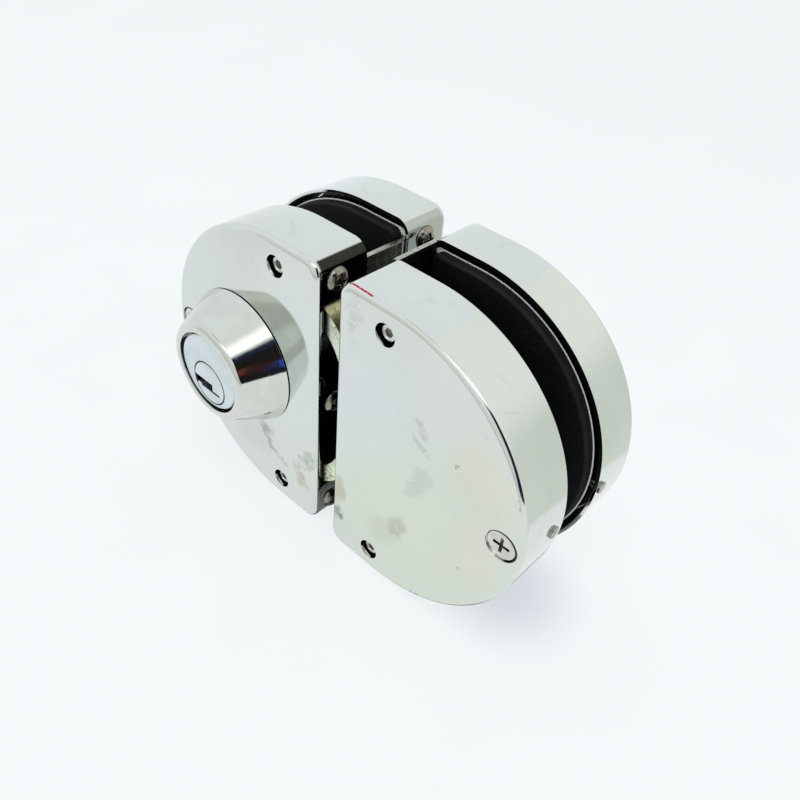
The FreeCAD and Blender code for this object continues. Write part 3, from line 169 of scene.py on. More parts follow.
class Graph:
    """The nodes of one material or of the world."""

    def __init__(self, tree: bpy.types.NodeTree) -> None:
        """Starts an empty graph.

        Args:
            tree: The node tree to fill.
        """
        self.tree = tree
        tree.nodes.clear()

    def node(self, kind: str, settings: Mapping[str, object], inputs: Mapping[object, object],
             output: object = 0) -> Wire:
        """Adds a node.

        Args:
            kind: The node's type.
            settings: Its properties, set first.
            inputs: Values or wires by socket name or number.
            output: The output socket's name or number.

        Returns:
            That output.
        """
        made = self.tree.nodes.new(kind)
        for name, value in settings.items():
            setattr(made, name, value)
        for name, value in inputs.items():
            self.connect(made.inputs[name], value)
        return Wire(self, made.outputs[output])

    def connect(self, socket: bpy.types.NodeSocket, value: object) -> None:
        """Sets an input socket.

        Args:
            socket: The input.
            value: A wire, a number or a colour.
        """
        if isinstance(value, Wire):
            self.tree.links.new(value.socket, socket)
        elif isinstance(value, tuple) and socket.type == "RGBA":
            socket.default_value = (*value, 1.0)
        else:
            socket.default_value = value

    def finish(self, kind: str, shader: Wire) -> None:
        """Joins the last shader to the output.

        Args:
            kind: Type of the output node.
            shader: What it shows.
        """
        self.connect(self.tree.nodes.new(kind).inputs["Surface"], shader)

    def position(self) -> Wire:
        """The surface point, in metres, in the frame of the part."""
        return self.node("ShaderNodeTexCoord", {}, {}, "Object")

    def axes(self, vector: Wire) -> tuple[Wire, Wire, Wire]:
        """The three numbers of a vector."""
        split = self.node("ShaderNodeSeparateXYZ", {}, {0: vector})
        return tuple(Wire(self, output) for output in split.socket.node.outputs)

    def rays(self) -> tuple[Wire, Wire, Wire]:
        """Masks for camera rays, mirrored rays and rays through clear matter."""
        paths = self.node("ShaderNodeLightPath", {}, {}).socket.node.outputs
        return tuple(Wire(self, paths[f"Is {kind} Ray"]) for kind in ("Camera", "Glossy", "Transmission"))

    def stretched(self, vector: Wire, scale: tuple[float, float, float]) -> Wire:
        """The vector times a scale along each axis."""
        return self.node("ShaderNodeVectorMath", {"operation": "MULTIPLY"}, {0: vector, 1: scale})

    def noise(self, grain: float, detail: float = 4.0, warp: float = 0.0, at: Wire | None = None) -> Wire:
        """Cloudy noise.

        Args:
            grain: Size of its main features, in metres.
            detail: How many finer layers it has.
            warp: How far it twists on itself.
            at: Where to read it; the surface point if left out.

        Returns:
            Values about 0.5.
        """
        where = self.position() if at is None else at
        return self.node("ShaderNodeTexNoise", {},
                         {"Vector": where, "Scale": 1 / grain, "Detail": detail, "Distortion": warp}, "Fac")

    def patches(self, grain: float, low: float, high: float, detail: float = 4.0, warp: float = 0.0,
                at: Wire | None = None) -> Wire:
        """Cloudy noise cut down to separate patches.

        Args:
            grain: Size of its main features, in metres.
            low: Noise value at which a patch starts.
            high: Noise value at which it is full.
            detail: How many finer layers it has.
            warp: How far it twists on itself.
            at: Where to read it; the surface point if left out.

        Returns:
            A mask.
        """
        return self.noise(grain, detail, warp, at).rise(low, high)

    def wandering(self, grain: float, reach: float) -> Wire:
        """The surface point pushed about, so that outlines drawn with it turn ragged.

        Args:
            grain: Size of the bends, in metres.
            reach: How far they push, in metres.

        Returns:
            A vector.
        """
        place = self.position()
        bends = self.node("ShaderNodeTexNoise", {}, {"Vector": place, "Scale": 1 / grain, "Detail": 4.0},
                          "Color")
        offset = self.node("ShaderNodeVectorMath", {"operation": "SUBTRACT"}, {0: bends, 1: (0.5, 0.5, 0.5)})
        return self.node("ShaderNodeVectorMath", {"operation": "MULTIPLY_ADD"},
                         {0: offset, 1: (reach, reach, reach), 2: place})

    def mix(self, share: object, first: object, second: object) -> Wire:
        """A blend of two colours.

        Args:
            share: How much of the second colour.
            first: A colour.
            second: Another colour.

        Returns:
            The blended colour.
        """
        return self.node("ShaderNodeMix", {"data_type": "RGBA"}, {0: share, 6: first, 7: second}, 2)

    def soft_edges(self, radius: float) -> Wire:
        """Normals as if the edges were rounded.

        Args:
            radius: The rounding, in metres.

        Returns:
            A normal.
        """
        return self.node("ShaderNodeBevel", {"samples": 4}, {"Radius": radius})

    def bump(self, height: Wire, depth: float, strength: float, normal: Wire | None = None) -> Wire:
        """Raises the surface by a height.

        Args:
            height: From 0 to 1.
            depth: What a height of 1 stands for, in metres.
            strength: How much of it shows.
            normal: The normal to start from.

        Returns:
            A normal.
        """
        inputs = {"Height": height, "Distance": depth, "Strength": strength}
        if normal is not None:
            inputs["Normal"] = normal
        return self.node("ShaderNodeBump", {}, inputs)


def distance(x: Wire, z: Wire, across: float, height: float) -> Wire:
    """How far a point lies from an axis along Y, which stands at a place across and at a height."""
    dx = x - across
    dz = z - height
    return (dx * dx + dz * dz) ** 0.5


def darker(tone: Colour, share: float) -> Colour:
    """A tone times a share."""
    return tuple(share * value for value in tone)


@dataclass(frozen=True)
class Finish:
    """A surface finish. Its paint method gives the inputs of the surface shader."""

    name: str
    tone: Colour

    def paint(self, graph: Graph) -> dict[str, object]:
        """The shader's inputs; a plain coat of the tone unless a finish says more."""
        return {"Base Color": self.tone}

    def material(self) -> bpy.types.Material:
        """Builds the material.

        Returns:
            A material with its own nodes.
        """
        made = bpy.data.materials.new(self.name)
        made.use_nodes = True
        graph = Graph(made.node_tree)
        shader = graph.node("ShaderNodeBsdfPrincipled", {}, self.paint(graph), "BSDF")
        graph.finish("ShaderNodeOutputMaterial", shader)
        return made


@dataclass(frozen=True)
class Stain:
    """A faint mark on a polished face, in millimetres: a dried drop, a smear, or a wide tint."""

    across: float
    height: float
    radius: float
    tint: Colour
    share: float = 0.2
    broken: bool = True
    longer: float = 1.0
    slant: float = 0.0
    core: float = 0.05

    def mask(self, x: Wire, z: Wire) -> Wire:
        """Where the mark lies.

        Args:
            x: Across the doors.
            z: Height.

        Returns:
            A mask that fades outwards.
        """
        turn = math.radians(self.slant)
        dx = x - self.across * MM
        dz = z - self.height * MM
        along = (dx * math.cos(turn) + dz * math.sin(turn)) / (self.radius * MM * self.longer)
        aside = (dz * math.cos(turn) - dx * math.sin(turn)) / (self.radius * MM)
        return (along * along + aside * aside).rise(1.0, self.core)


@dataclass(frozen=True)
class SheetPoint:
    """A point on a cover, with the depth behind its outer face and the ways in from its outline."""

    graph: Graph
    x: Wire
    z: Wire
    depth: Wire
    rim: Wire
    inward: Wire


@dataclass(frozen=True)
class PolishedCover(Finish):
    """Mirror polished sheet with smudges, wipe marks, a few dried stains and, on the lock, a painted
    reflection of the cone, with painted shade on the wall that faces the other unit, on its inner faces and
    round its screw.
    """

    side: Side = Side.LOCK
    face: float = 0.0
    middle: float = 0.0
    half_height: float = 0.0
    arc_centre: float = 0.0
    flat: float = 0.0
    stains: tuple[Stain, ...] = ()
    ink: tuple[float, float] | None = None
    ink_tone: Colour = (0.50, 0.012, 0.05)
    ink_depth: float = 1.35 * MM
    ink_slope: float = 0.03
    ink_width: tuple[float, float] = (0.34 * MM, 0.18 * MM)
    edge_reach: float = 1.6 * MM
    line_grain: float = 34 * MM
    inner_side: float = 2.7 * MM
    # How much painted shade darkens the wall that faces the other unit.
    side_grime: float = 0.3
    screw: tuple[float, float, float] = (0.0, 0.0, 0.0)
    seat_gap: tuple[float, float] = (0.52 * MM, 0.38 * MM)
    wander_grain: float = 6 * MM
    wander_reach: float = 9 * MM
    tide_tone: Colour = (0.36, 0.37, 0.34)
    speck_tone: Colour = (0.34, 0.33, 0.30)
    # Painted shade on the wall that faces the other unit.
    grime: Colour = (0.020, 0.019, 0.016)
    # Painted shade on the inner faces and in the gap round the screw.
    inside_tone: Colour = (0.020, 0.019, 0.018)

    def point(self, graph: Graph) -> SheetPoint:
        """The surface point, measured on this cover.

        Args:
            graph: The graph to build in.

        Returns:
            The point.
        """
        x, y, z = graph.axes(graph.position())
        away = self.side.value * x
        beyond = (away - self.arc_centre).most(0.0)
        rise = z - self.middle
        to_arc = self.half_height - (beyond * beyond + rise * rise) ** 0.5
        return SheetPoint(graph, x, z, abs(y - self.face), to_arc.least(away - self.flat), away - self.flat)

    def water_line(self, at: SheetPoint) -> Wire:
        """Thin wavy lines that drying water left on the side wall.

        Args:
            at: The point.

        Returns:
            A mask.
        """
        line = abs(at.graph.noise(self.line_grain, 3.0, 0.9) - 0.5).rise(0.022, 0.002)
        return line * at.graph.patches(16 * MM, 0.52, 0.64, 2.0) * at.depth.rise(2 * MM, 3 * MM)

    def facing_side(self, at: SheetPoint) -> Wire:
        """The wall that faces the other unit, darkened with painted shade behind the polished edge, with less
        of it at its foot.

        Args:
            at: The point.

        Returns:
            A mask.
        """
        foot = self.middle - self.half_height
        wall = at.inward.rise(self.inner_side, self.inner_side * 0.8) * at.depth.rise(1.5 * MM, 2.3 * MM)
        return wall * self.side_grime * (0.1 + 0.9 * at.z.rise(foot + 3 * MM, foot + 22 * MM))

    def marked(self, at: SheetPoint, colour: Wire) -> Wire:
        """The face with its stains; on the lock's front cover, one of them is a painted reflection of the
        cone.

        Args:
            at: The point.
            colour: The clean face.

        Returns:
            The colour.
        """
        x, _, z = at.graph.axes(at.graph.wandering(self.wander_grain, self.wander_reach))
        torn = at.graph.patches(2 * MM, 0.30, 0.66, 5.0, 0.5)
        face = at.depth.rise(2 * MM, 1 * MM)
        for stain in self.stains:
            spot = stain.mask(x, z) * face * stain.share
            colour = at.graph.mix(spot * torn if stain.broken else spot, colour, stain.tint)
        return colour

    def screw_seat(self, at: SheetPoint) -> Wire:
        """The shaded gap round the countersunk screw.

        Args:
            at: The point.

        Returns:
            A mask.
        """
        across, height, radius = self.screw
        outer, inner = self.seat_gap
        away = distance(at.x, at.z, across, height)
        return away.rise(radius + outer, radius + inner) * at.depth.rise(1.6 * MM, 1.4 * MM)

    def hidden_inside(self, at: SheetPoint) -> Wire:
        """The inner faces of the shell, away from its rounded corners, which get painted shade and a rougher,
        unpolished surface.

        Args:
            at: The point.

        Returns:
            A mask.
        """
        behind = at.rim.rise(0.7 * MM, 1.0 * MM) * at.depth.rise(1.9 * MM, 2.1 * MM)
        return behind * at.inward.rise(5.2 * MM, 6.5 * MM)

    def ink_line(self, at: SheetPoint) -> Wire:
        """The stroke of red ink on the upper edge.

        Args:
            at: The point.

        Returns:
            A mask.
        """
        start, end = self.ink
        top = self.middle + self.half_height
        along = at.x.rise(start, start + 0.5 * MM) * at.x.rise(end, end - 0.8 * MM)
        stroke_depth = self.ink_depth - (at.x - start) * self.ink_slope
        across = abs(at.depth - stroke_depth).rise(*self.ink_width)
        upper = at.z.rise(top - 2.5 * MM, top - 2.0 * MM)
        return along * across * upper * at.graph.patches(0.7 * MM, 0.25, 0.45, 2.0)

    def paint(self, graph: Graph) -> dict[str, object]:
        """Base colour from stains, wear and painted shade, roughness from smudges, bump from the sheet's
        waviness.
        """
        at = self.point(graph)
        drawn_out = graph.stretched(graph.position(), (0.35, 0.35, 1.6))
        smudge = graph.patches(17 * MM, 0.50, 0.68, 5.0, 0.8)
        wipe = graph.patches(3 * MM, 0.42, 0.75, 3.0, 0.0, drawn_out)
        specks = graph.patches(0.9 * MM, 0.71, 0.77, 2.0)
        tide = self.water_line(at)
        inner_shade_mask = self.hidden_inside(at)
        edge = (at.rim + at.depth).rise(self.edge_reach, 0.3 * self.edge_reach)
        worn = edge * graph.patches(1.2 * MM, 0.40, 0.60, 3.0)
        colour = graph.mix(graph.patches(30 * MM, 0.35, 0.70, 3.0), self.tone, darker(self.tone, 0.955))
        colour = self.marked(at, colour)
        colour = graph.mix(tide * 0.12, colour, self.tide_tone)
        colour = graph.mix(specks * 0.4, colour, self.speck_tone)
        # Painted shade on the wall that faces the other unit.
        colour = graph.mix(self.facing_side(at), colour, self.grime)
        # Painted shade on the shell's inner faces and in the gap round the screw.
        colour = graph.mix(inner_shade_mask.most(self.screw_seat(at)), colour, self.inside_tone)
        if self.ink:
            colour = graph.mix(self.ink_line(at), colour, self.ink_tone)
        rough = 0.05 + 0.05 * smudge + 0.035 * wipe + 0.12 * specks
        rough = rough + 0.12 * worn + 0.05 * tide + 0.35 * inner_shade_mask
        waves = graph.noise(9 * MM, 2.0) + 0.02 * graph.noise(0.35 * MM, 2.0)
        return {"Base Color": colour, "Metallic": 1.0, "Roughness": rough,
                "Normal": graph.bump(waves, 0.02 * MM, 0.5)}


@dataclass(frozen=True)
class TurnedMetal(Finish):
    """Metal turned on a lathe about a Y axis, with fine rings and cloudy handling marks."""

    axis: tuple[float, float] = (0.0, 0.0)
    roughness: float = 0.2
    ring_pitch: float = 0.22 * MM
    ring_depth: float = 0.004 * MM
    ring_share: float = 0.3
    speckle: float = 0.0
    wave: float = 0.0
    rounding: float = 0.12 * MM
    seam: tuple[float, float, float] | None = None
    seam_tone: Colour = (0.025, 0.025, 0.03)

    def paint(self, graph: Graph) -> dict[str, object]:
        """Rings about the axis in roughness and bump, with clouds, specks and scratches."""
        x, y, z = graph.axes(graph.position())
        run = distance(x, z, *self.axis) + abs(y) * 0.9
        rings = graph.node("ShaderNodeTexNoise", {"noise_dimensions": "1D"},
                           {"W": run, "Scale": 1 / self.ring_pitch, "Detail": 3.0}, "Fac")
        clouds = graph.noise(7 * MM, 4.0, 0.5)
        specks = graph.patches(0.5 * MM, 0.66, 0.74, 2.0)
        drawn_out = graph.stretched(graph.position(), (3.0, 1.0, 0.4))
        marks = graph.patches(1.5 * MM, 0.60, 0.70, 4.0, 2.0, drawn_out)
        colour = graph.mix(clouds.rise(0.35, 0.65), self.tone, darker(self.tone, 0.93))
        colour = graph.mix(specks * self.speckle, colour, darker(self.tone, 0.55))
        if self.seam:
            across, up, radius = self.seam
            line = abs(distance(x, z, across, up) - radius).rise(0.34 * MM, 0.20 * MM)
            colour = graph.mix(line * 0.9, colour, self.seam_tone)
        rough = self.roughness * (0.75 + 0.5 * clouds) + self.ring_share * 0.12 * rings + 0.08 * marks
        height = rings * self.ring_share + marks * 0.4 + specks * self.speckle
        height = height + self.wave * graph.noise(2.6 * MM, 3.0, 0.4)
        return {"Base Color": colour, "Metallic": 1.0, "Roughness": rough,
                "Normal": graph.bump(height, self.ring_depth, 0.6, graph.soft_edges(self.rounding))}


@dataclass(frozen=True)
class PlatedSteel(Finish):
    """Plated steel with a cloudy sheen, rubbed edges, small dents and painted shade in its crevices."""

    second: Colour = (0.5, 0.5, 0.5)
    third: Colour = (0.5, 0.5, 0.5)
    grain: float = 3 * MM
    roughness: float = 0.28
    dents: float = 0.02 * MM
    rounding: float = 0.15 * MM
    crevice: float = 0.9 * MM
    grime: Colour = (0.10, 0.095, 0.085)
    patch_share: float = 0.45

    def paint(self, graph: Graph) -> dict[str, object]:
        """Two clouds of colour, painted shade in the crevices from ambient occlusion, and a rippled surface.
        """
        clouds = graph.noise(self.grain, 5.0, 0.9)
        patches = graph.noise(self.grain * self.patch_share, 4.0, 1.4)
        fine = graph.noise(0.3 * MM, 3.0)
        colour = graph.mix(clouds.rise(0.40, 0.62), self.tone, self.second)
        colour = graph.mix(patches.rise(0.52, 0.66) * 0.7, colour, self.third)
        # Painted shade: crevices darkened by ambient occlusion.
        open_sky = graph.node("ShaderNodeAmbientOcclusion", {"samples": 6, "only_local": True},
                              {"Distance": self.crevice}, "AO")
        colour = graph.mix((1 - open_sky) * 0.8, colour, self.grime)
        rough = self.roughness * (0.7 + 0.6 * clouds) + 0.12 * patches.rise(0.5, 0.7)
        height = patches + 0.35 * fine
        return {"Base Color": colour, "Metallic": 1.0, "Roughness": rough,
                "Normal": graph.bump(height, self.dents, 0.6, graph.soft_edges(self.rounding))}


@dataclass(frozen=True)
class ChassisZinc(PlatedSteel):
    """Plated steel of a chassis, darker on the web's face, with painted highlight lines along its cut edges.
    """

    side: Side = Side.LOCK
    web_face: float = 0.0
    web_edge: float = 0.0
    leg_face: float = 0.0
    web_end: float = 0.0
    dirt_tone: Colour = (0.035, 0.033, 0.024)
    shade_tone: Colour = (0.020, 0.021, 0.020)
    border_tone: Colour = (0.86, 0.87, 0.87)

    def paint(self, graph: Graph) -> dict[str, object]:
        """Adds the darker web face, painted shade on its inner side and painted highlight lines at the edges
        of the web and the rear leg.
        """
        inputs = super().paint(graph)
        x, y, z = graph.axes(graph.position())
        away = self.side.value * x - self.web_face
        outer = abs(away).rise(0.25 * MM, 0.10 * MM)
        below = z.rise(self.web_edge - 0.1 * MM, self.web_edge - 0.5 * MM)
        dark_face = outer * below * (0.75 + 0.25 * graph.patches(3 * MM, 0.35, 0.55, 4.0, 1.0))
        # Painted highlight line where the web ends at the rear cover.
        rim = abs(y - self.web_end).rise(0.50 * MM, 0.35 * MM) * outer * below
        shade = away.rise(0.4 * MM, 0.8 * MM) * below
        # Painted highlights: thin white non-metal lines along the rear leg's face and the web's end.
        edge_glint = abs(y - self.leg_face).rise(0.12 * MM, 0.06 * MM).most(rim * 0.8)
        colour = graph.mix(dark_face * 0.95, inputs["Base Color"], self.dirt_tone)
        colour = graph.mix(shade, colour, self.shade_tone)
        return inputs | {
            "Base Color": graph.mix(edge_glint, colour, self.border_tone),
            "Metallic": 1.0 - edge_glint,
            "Roughness": inputs["Roughness"] + 0.12 * dark_face + 0.25 * shade}


@dataclass(frozen=True)
class Passivated(Finish):
    """A claw in passivated zinc: pale flat faces, deeper colour on the outside of its arc."""

    pivot: tuple[float, float] = (0.0, 0.0)
    outside: Colour = (0.40, 0.38, 0.12)
    mottle: Colour = (0.30, 0.34, 0.20)
    arc_from: float = 28.7 * MM
    speck: float = 0.35
    speck_from: float = 0.60
    speck_tone: Colour = (0.09, 0.10, 0.06)

    def paint(self, graph: Graph) -> dict[str, object]:
        """Mottled colour by the distance from the pivot, with dark specks and bright worn edges."""
        x, _, z = graph.axes(graph.position())
        out = distance(x, z, *self.pivot).rise(self.arc_from, self.arc_from + 0.2 * MM)
        clouds = graph.noise(3.5 * MM, 5.0, 1.2)
        patches = graph.noise(1.4 * MM, 5.0, 1.0)
        specks = graph.patches(0.7 * MM, self.speck_from, self.speck_from + 0.08, 3.0, 0.8)
        bright = tuple(0.8 + 0.2 * value for value in self.tone)
        colour = graph.mix(out * (0.6 + 0.4 * clouds), self.tone, self.outside)
        colour = graph.mix(clouds.rise(0.50, 0.66) * 0.6, colour, self.mottle)
        colour = graph.mix(patches.rise(0.56, 0.68) * 0.35, colour, bright)
        colour = graph.mix(specks * self.speck, colour, self.speck_tone)
        rough = 0.22 + 0.16 * clouds + 0.20 * specks
        return {"Base Color": colour, "Metallic": 1.0, "Roughness": rough,
                "Normal": graph.bump(patches + 0.4 * specks, 0.03 * MM, 0.6, graph.soft_edges(0.35 * MM))}


@dataclass(frozen=True)
class Rubber(Finish):
    """Black rubber with a fine skin, dust and scuffs."""

    rounding: float = 0.4 * MM
    bloom_tone: Colour = (0.009, 0.011, 0.011)
    dust_tone: Colour = (0.10, 0.10, 0.095)

    def paint(self, graph: Graph) -> dict[str, object]:
        """Dust and scuffs over a fine pebbled skin."""
        drawn_out = graph.stretched(graph.position(), (0.4, 1.0, 2.2))
        dust = graph.patches(0.5 * MM, 0.66, 0.78, 3.0)
        bloom = graph.patches(14 * MM, 0.42, 0.70, 4.0, 0.6)
        skin = graph.noise(0.28 * MM, 4.0)
        scuff = graph.patches(3 * MM, 0.60, 0.72, 4.0, 1.0, drawn_out)
        colour = graph.mix(bloom * 0.5, self.tone, self.bloom_tone)
        colour = graph.mix(dust * 0.25 + scuff * 0.07, colour, self.dust_tone)
        rough = 0.60 + 0.16 * skin - 0.08 * bloom + 0.12 * scuff
        return {"Base Color": colour, "Roughness": rough, "Specular IOR Level": 0.22,
                "Normal": graph.bump(skin + 0.5 * scuff, 0.05 * MM, 0.5, graph.soft_edges(self.rounding))}


STEEL: Colour = (0.705, 0.740, 0.703)
SATIN: Colour = (0.715, 0.785, 0.80)


@dataclass(frozen=True)
class Palette:
    """The finishes that many pieces share."""

    rubber: Finish = Rubber("black_rubber", (0.0050, 0.0050, 0.0058))
    zinc: Finish = PlatedSteel(
        "bright_zinc", (0.36, 0.37, 0.31), (0.28, 0.28, 0.23), (0.44, 0.44, 0.38),
        grain=4 * MM, roughness=0.26, dents=0.03 * MM, rounding=0.25 * MM, crevice=2.5 * MM)
    dull_zinc: Finish = PlatedSteel(
        "dull_zinc", (0.40, 0.40, 0.37), (0.32, 0.32, 0.29), (0.46, 0.46, 0.42), grain=4 * MM, roughness=0.34)
    screw: Finish = PlatedSteel(
        "bright_screw", (0.33, 0.31, 0.26), (0.21, 0.19, 0.15), (0.50, 0.48, 0.43),
        grain=1.8 * MM, roughness=0.12, dents=0.012 * MM, rounding=0.50 * MM, crevice=1.4 * MM,
        grime=(0.035, 0.022, 0.015))
    rim_screw: Finish = PlatedSteel(
        "rim_screw", (0.34, 0.35, 0.32), (0.22, 0.23, 0.20), (0.46, 0.47, 0.44),
        grain=1.6 * MM, roughness=0.18, dents=0.010 * MM, rounding=0.12 * MM, crevice=0.8 * MM,
        grime=(0.05, 0.045, 0.04))
    cover_screw: Finish = PlatedSteel(
        "cover_screw", (0.68, 0.69, 0.65), (0.58, 0.58, 0.53), (0.72, 0.72, 0.69),
        grain=2 * MM, roughness=0.15, dents=0.012 * MM, rounding=0.15 * MM, crevice=1.6 * MM,
        grime=(0.030, 0.010, 0.007))
    set_screw: Finish = PlatedSteel(
        "set_screw", (0.80, 0.80, 0.77), (0.66, 0.65, 0.61), (0.86, 0.86, 0.83),
        grain=1.2 * MM, roughness=0.34, dents=0.008 * MM, rounding=0.30 * MM, crevice=0.7 * MM)
    brass: Finish = PlatedSteel(
        "turned_brass", (0.62, 0.46, 0.19), (0.52, 0.37, 0.14), (0.70, 0.55, 0.26),
        grain=1.5 * MM, roughness=0.22, dents=0.008 * MM, rounding=0.1 * MM)
    spring: Finish = PlatedSteel(
        "spring_steel", (0.42, 0.42, 0.41), (0.34, 0.34, 0.33), (0.50, 0.50, 0.49),
        grain=1 * MM, roughness=0.24, dents=0.004 * MM, rounding=0.05 * MM)


class Dresser:
    """Gives CAD nodes and new pieces their materials, each finish made once."""

    def __init__(self) -> None:
        """Starts with no material made."""
        self.made: dict[Finish, bpy.types.Material] = {}

    def material(self, finish: Finish) -> bpy.types.Material:
        """The material of a finish, built on first use."""
        if finish not in self.made:
            self.made[finish] = finish.material()
        return self.made[finish]

    def node(self, name: str, finish: Finish) -> None:
        """Dresses a CAD node.

        Args:
            name: The node.
            finish: What it is finished with.
        """
        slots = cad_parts[name].data.materials
        for number in range(len(slots)):
            slots[number] = self.material(finish)
        log.info("%s: %s", name, finish.name)

    def piece(self, mesh: bmesh.types.BMesh, name: str, finish: Finish) -> bpy.types.Object:
        """Makes a new piece from a bmesh.

        Args:
            mesh: The shape, in the frame of the part, in metres; it is freed.
            name: The piece's name.
            finish: What it is finished with.

        Returns:
            The new object.
        """
        bmesh.ops.recalc_face_normals(mesh, faces=mesh.faces)
        for face in mesh.faces:
            face.smooth = True
        data = bpy.data.meshes.new(name)
        mesh.to_mesh(data)
        mesh.free()
        data.materials.append(self.material(finish))
        made = bpy.data.objects.new(name, data)
        bpy.context.scene.collection.objects.link(made)
        log.info("%s: new piece, %s", name, finish.name)
        return made


def middle_of(node: str) -> Vector:
    """The middle of a CAD node's box."""
    low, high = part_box(node)
    return (low + high) / 2


BEYOND_ONE_SOLID = 1.05


def frame_rows(node: str, width: float) -> list[float]:
    """Depths at which a node's solids of a given width stand.

    Args:
        node: A CAD node whose solids stand in a row along Y.
        width: Width of one solid.

    Returns:
        The middle depth of each solid, front first.
    """
    depths = sorted(vertex.co.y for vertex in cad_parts[node].data.vertices)
    rows = [depths[0]]
    for depth in depths:
        if depth > rows[-1] + width * BEYOND_ONE_SOLID:
            rows.append(depth)
    return [row + width / 2 for row in rows]


@dataclass
class HalfMoonUnit:
    """One clamp: covers, chassis, clamp plate, pads and screws."""

    side: Side
    finishes: Palette
    stains: tuple[Stain, ...]
    web_dip: float
    ink: tuple[float, float] | None = None
    shadow_shift: float = 0.35 * MM

    def cover_finish(self, node: str, face: float, side_grime: float, stains: tuple[Stain, ...] = (),
                     ink: tuple[float, float] | None = None) -> PolishedCover:
        """Polish for one cover, fitted to the cover's own box.

        Args:
            node: The cover.
            face: Depth of its outer face.
            side_grime: How much painted shade darkens its wall at the meeting side.
            stains: Marks on that face; on the lock's front cover one is a painted reflection of the cone.
            ink: Start and end of an ink line on its upper edge.

        Returns:
            The finish.
        """
        low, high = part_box(node)
        half = (high.z - low.z) / 2
        away = sorted((self.side.value * low.x, self.side.value * high.x))
        first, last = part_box(f"{self.side.prefix}_cover_screws")
        middle = (first + last) / 2
        screw = (middle.x + self.shadow_shift, middle.z + self.shadow_shift, (last.x - first.x) / 2)
        return PolishedCover(f"polished_{node}", STEEL, self.side, face, (low.z + high.z) / 2, half,
                             away[1] - half, away[0], stains, ink, screw=screw, side_grime=side_grime)

    def chassis_finish(self) -> ChassisZinc:
        """Zinc for the chassis, fitted to the pieces round it."""
        prefix = self.side.prefix
        low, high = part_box(f"{prefix}_chassis")
        return ChassisZinc(
            f"bright_zinc_{prefix}", (0.46, 0.46, 0.41), (0.36, 0.36, 0.30), (0.56, 0.56, 0.50),
            grain=4 * MM, roughness=0.24, dents=0.02 * MM, rounding=0.12 * MM, crevice=2.0 * MM,
            side=self.side, web_face=min(self.side.value * low.x, self.side.value * high.x),
            web_edge=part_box(f"{prefix}_front_cover")[1].z - self.web_dip,
            leg_face=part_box(f"{prefix}_rear_pad")[1].y,
            web_end=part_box(f"{prefix}_rear_cover")[0].y - 0.8 * MM)

    def dress(self, dresser: Dresser) -> None:
        """Gives every node of the unit its finish.

        Args:
            dresser: Makes and assigns the materials.
        """
        prefix = self.side.prefix
        front = f"{prefix}_front_cover"
        rear = f"{prefix}_rear_cover"
        # 0.975 and 0.3: how much painted shade darkens the meeting wall of the front and the rear cover.
        dresser.node(front, self.cover_finish(front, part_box(front)[0].y, 0.975, self.stains, self.ink))
        dresser.node(rear, self.cover_finish(rear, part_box(rear)[1].y, 0.3))
        for part, finish in (
            ("chassis", self.chassis_finish()), ("clamp_plate", self.finishes.zinc),
            ("front_pad", self.finishes.rubber), ("rear_pad", self.finishes.rubber),
            ("set_screws", self.finishes.set_screw), ("cover_screws", self.finishes.cover_screw),
            ("edge_screws", self.finishes.screw), ("rim_screws", self.finishes.rim_screw),
        ):
            dresser.node(f"{prefix}_{part}", finish)


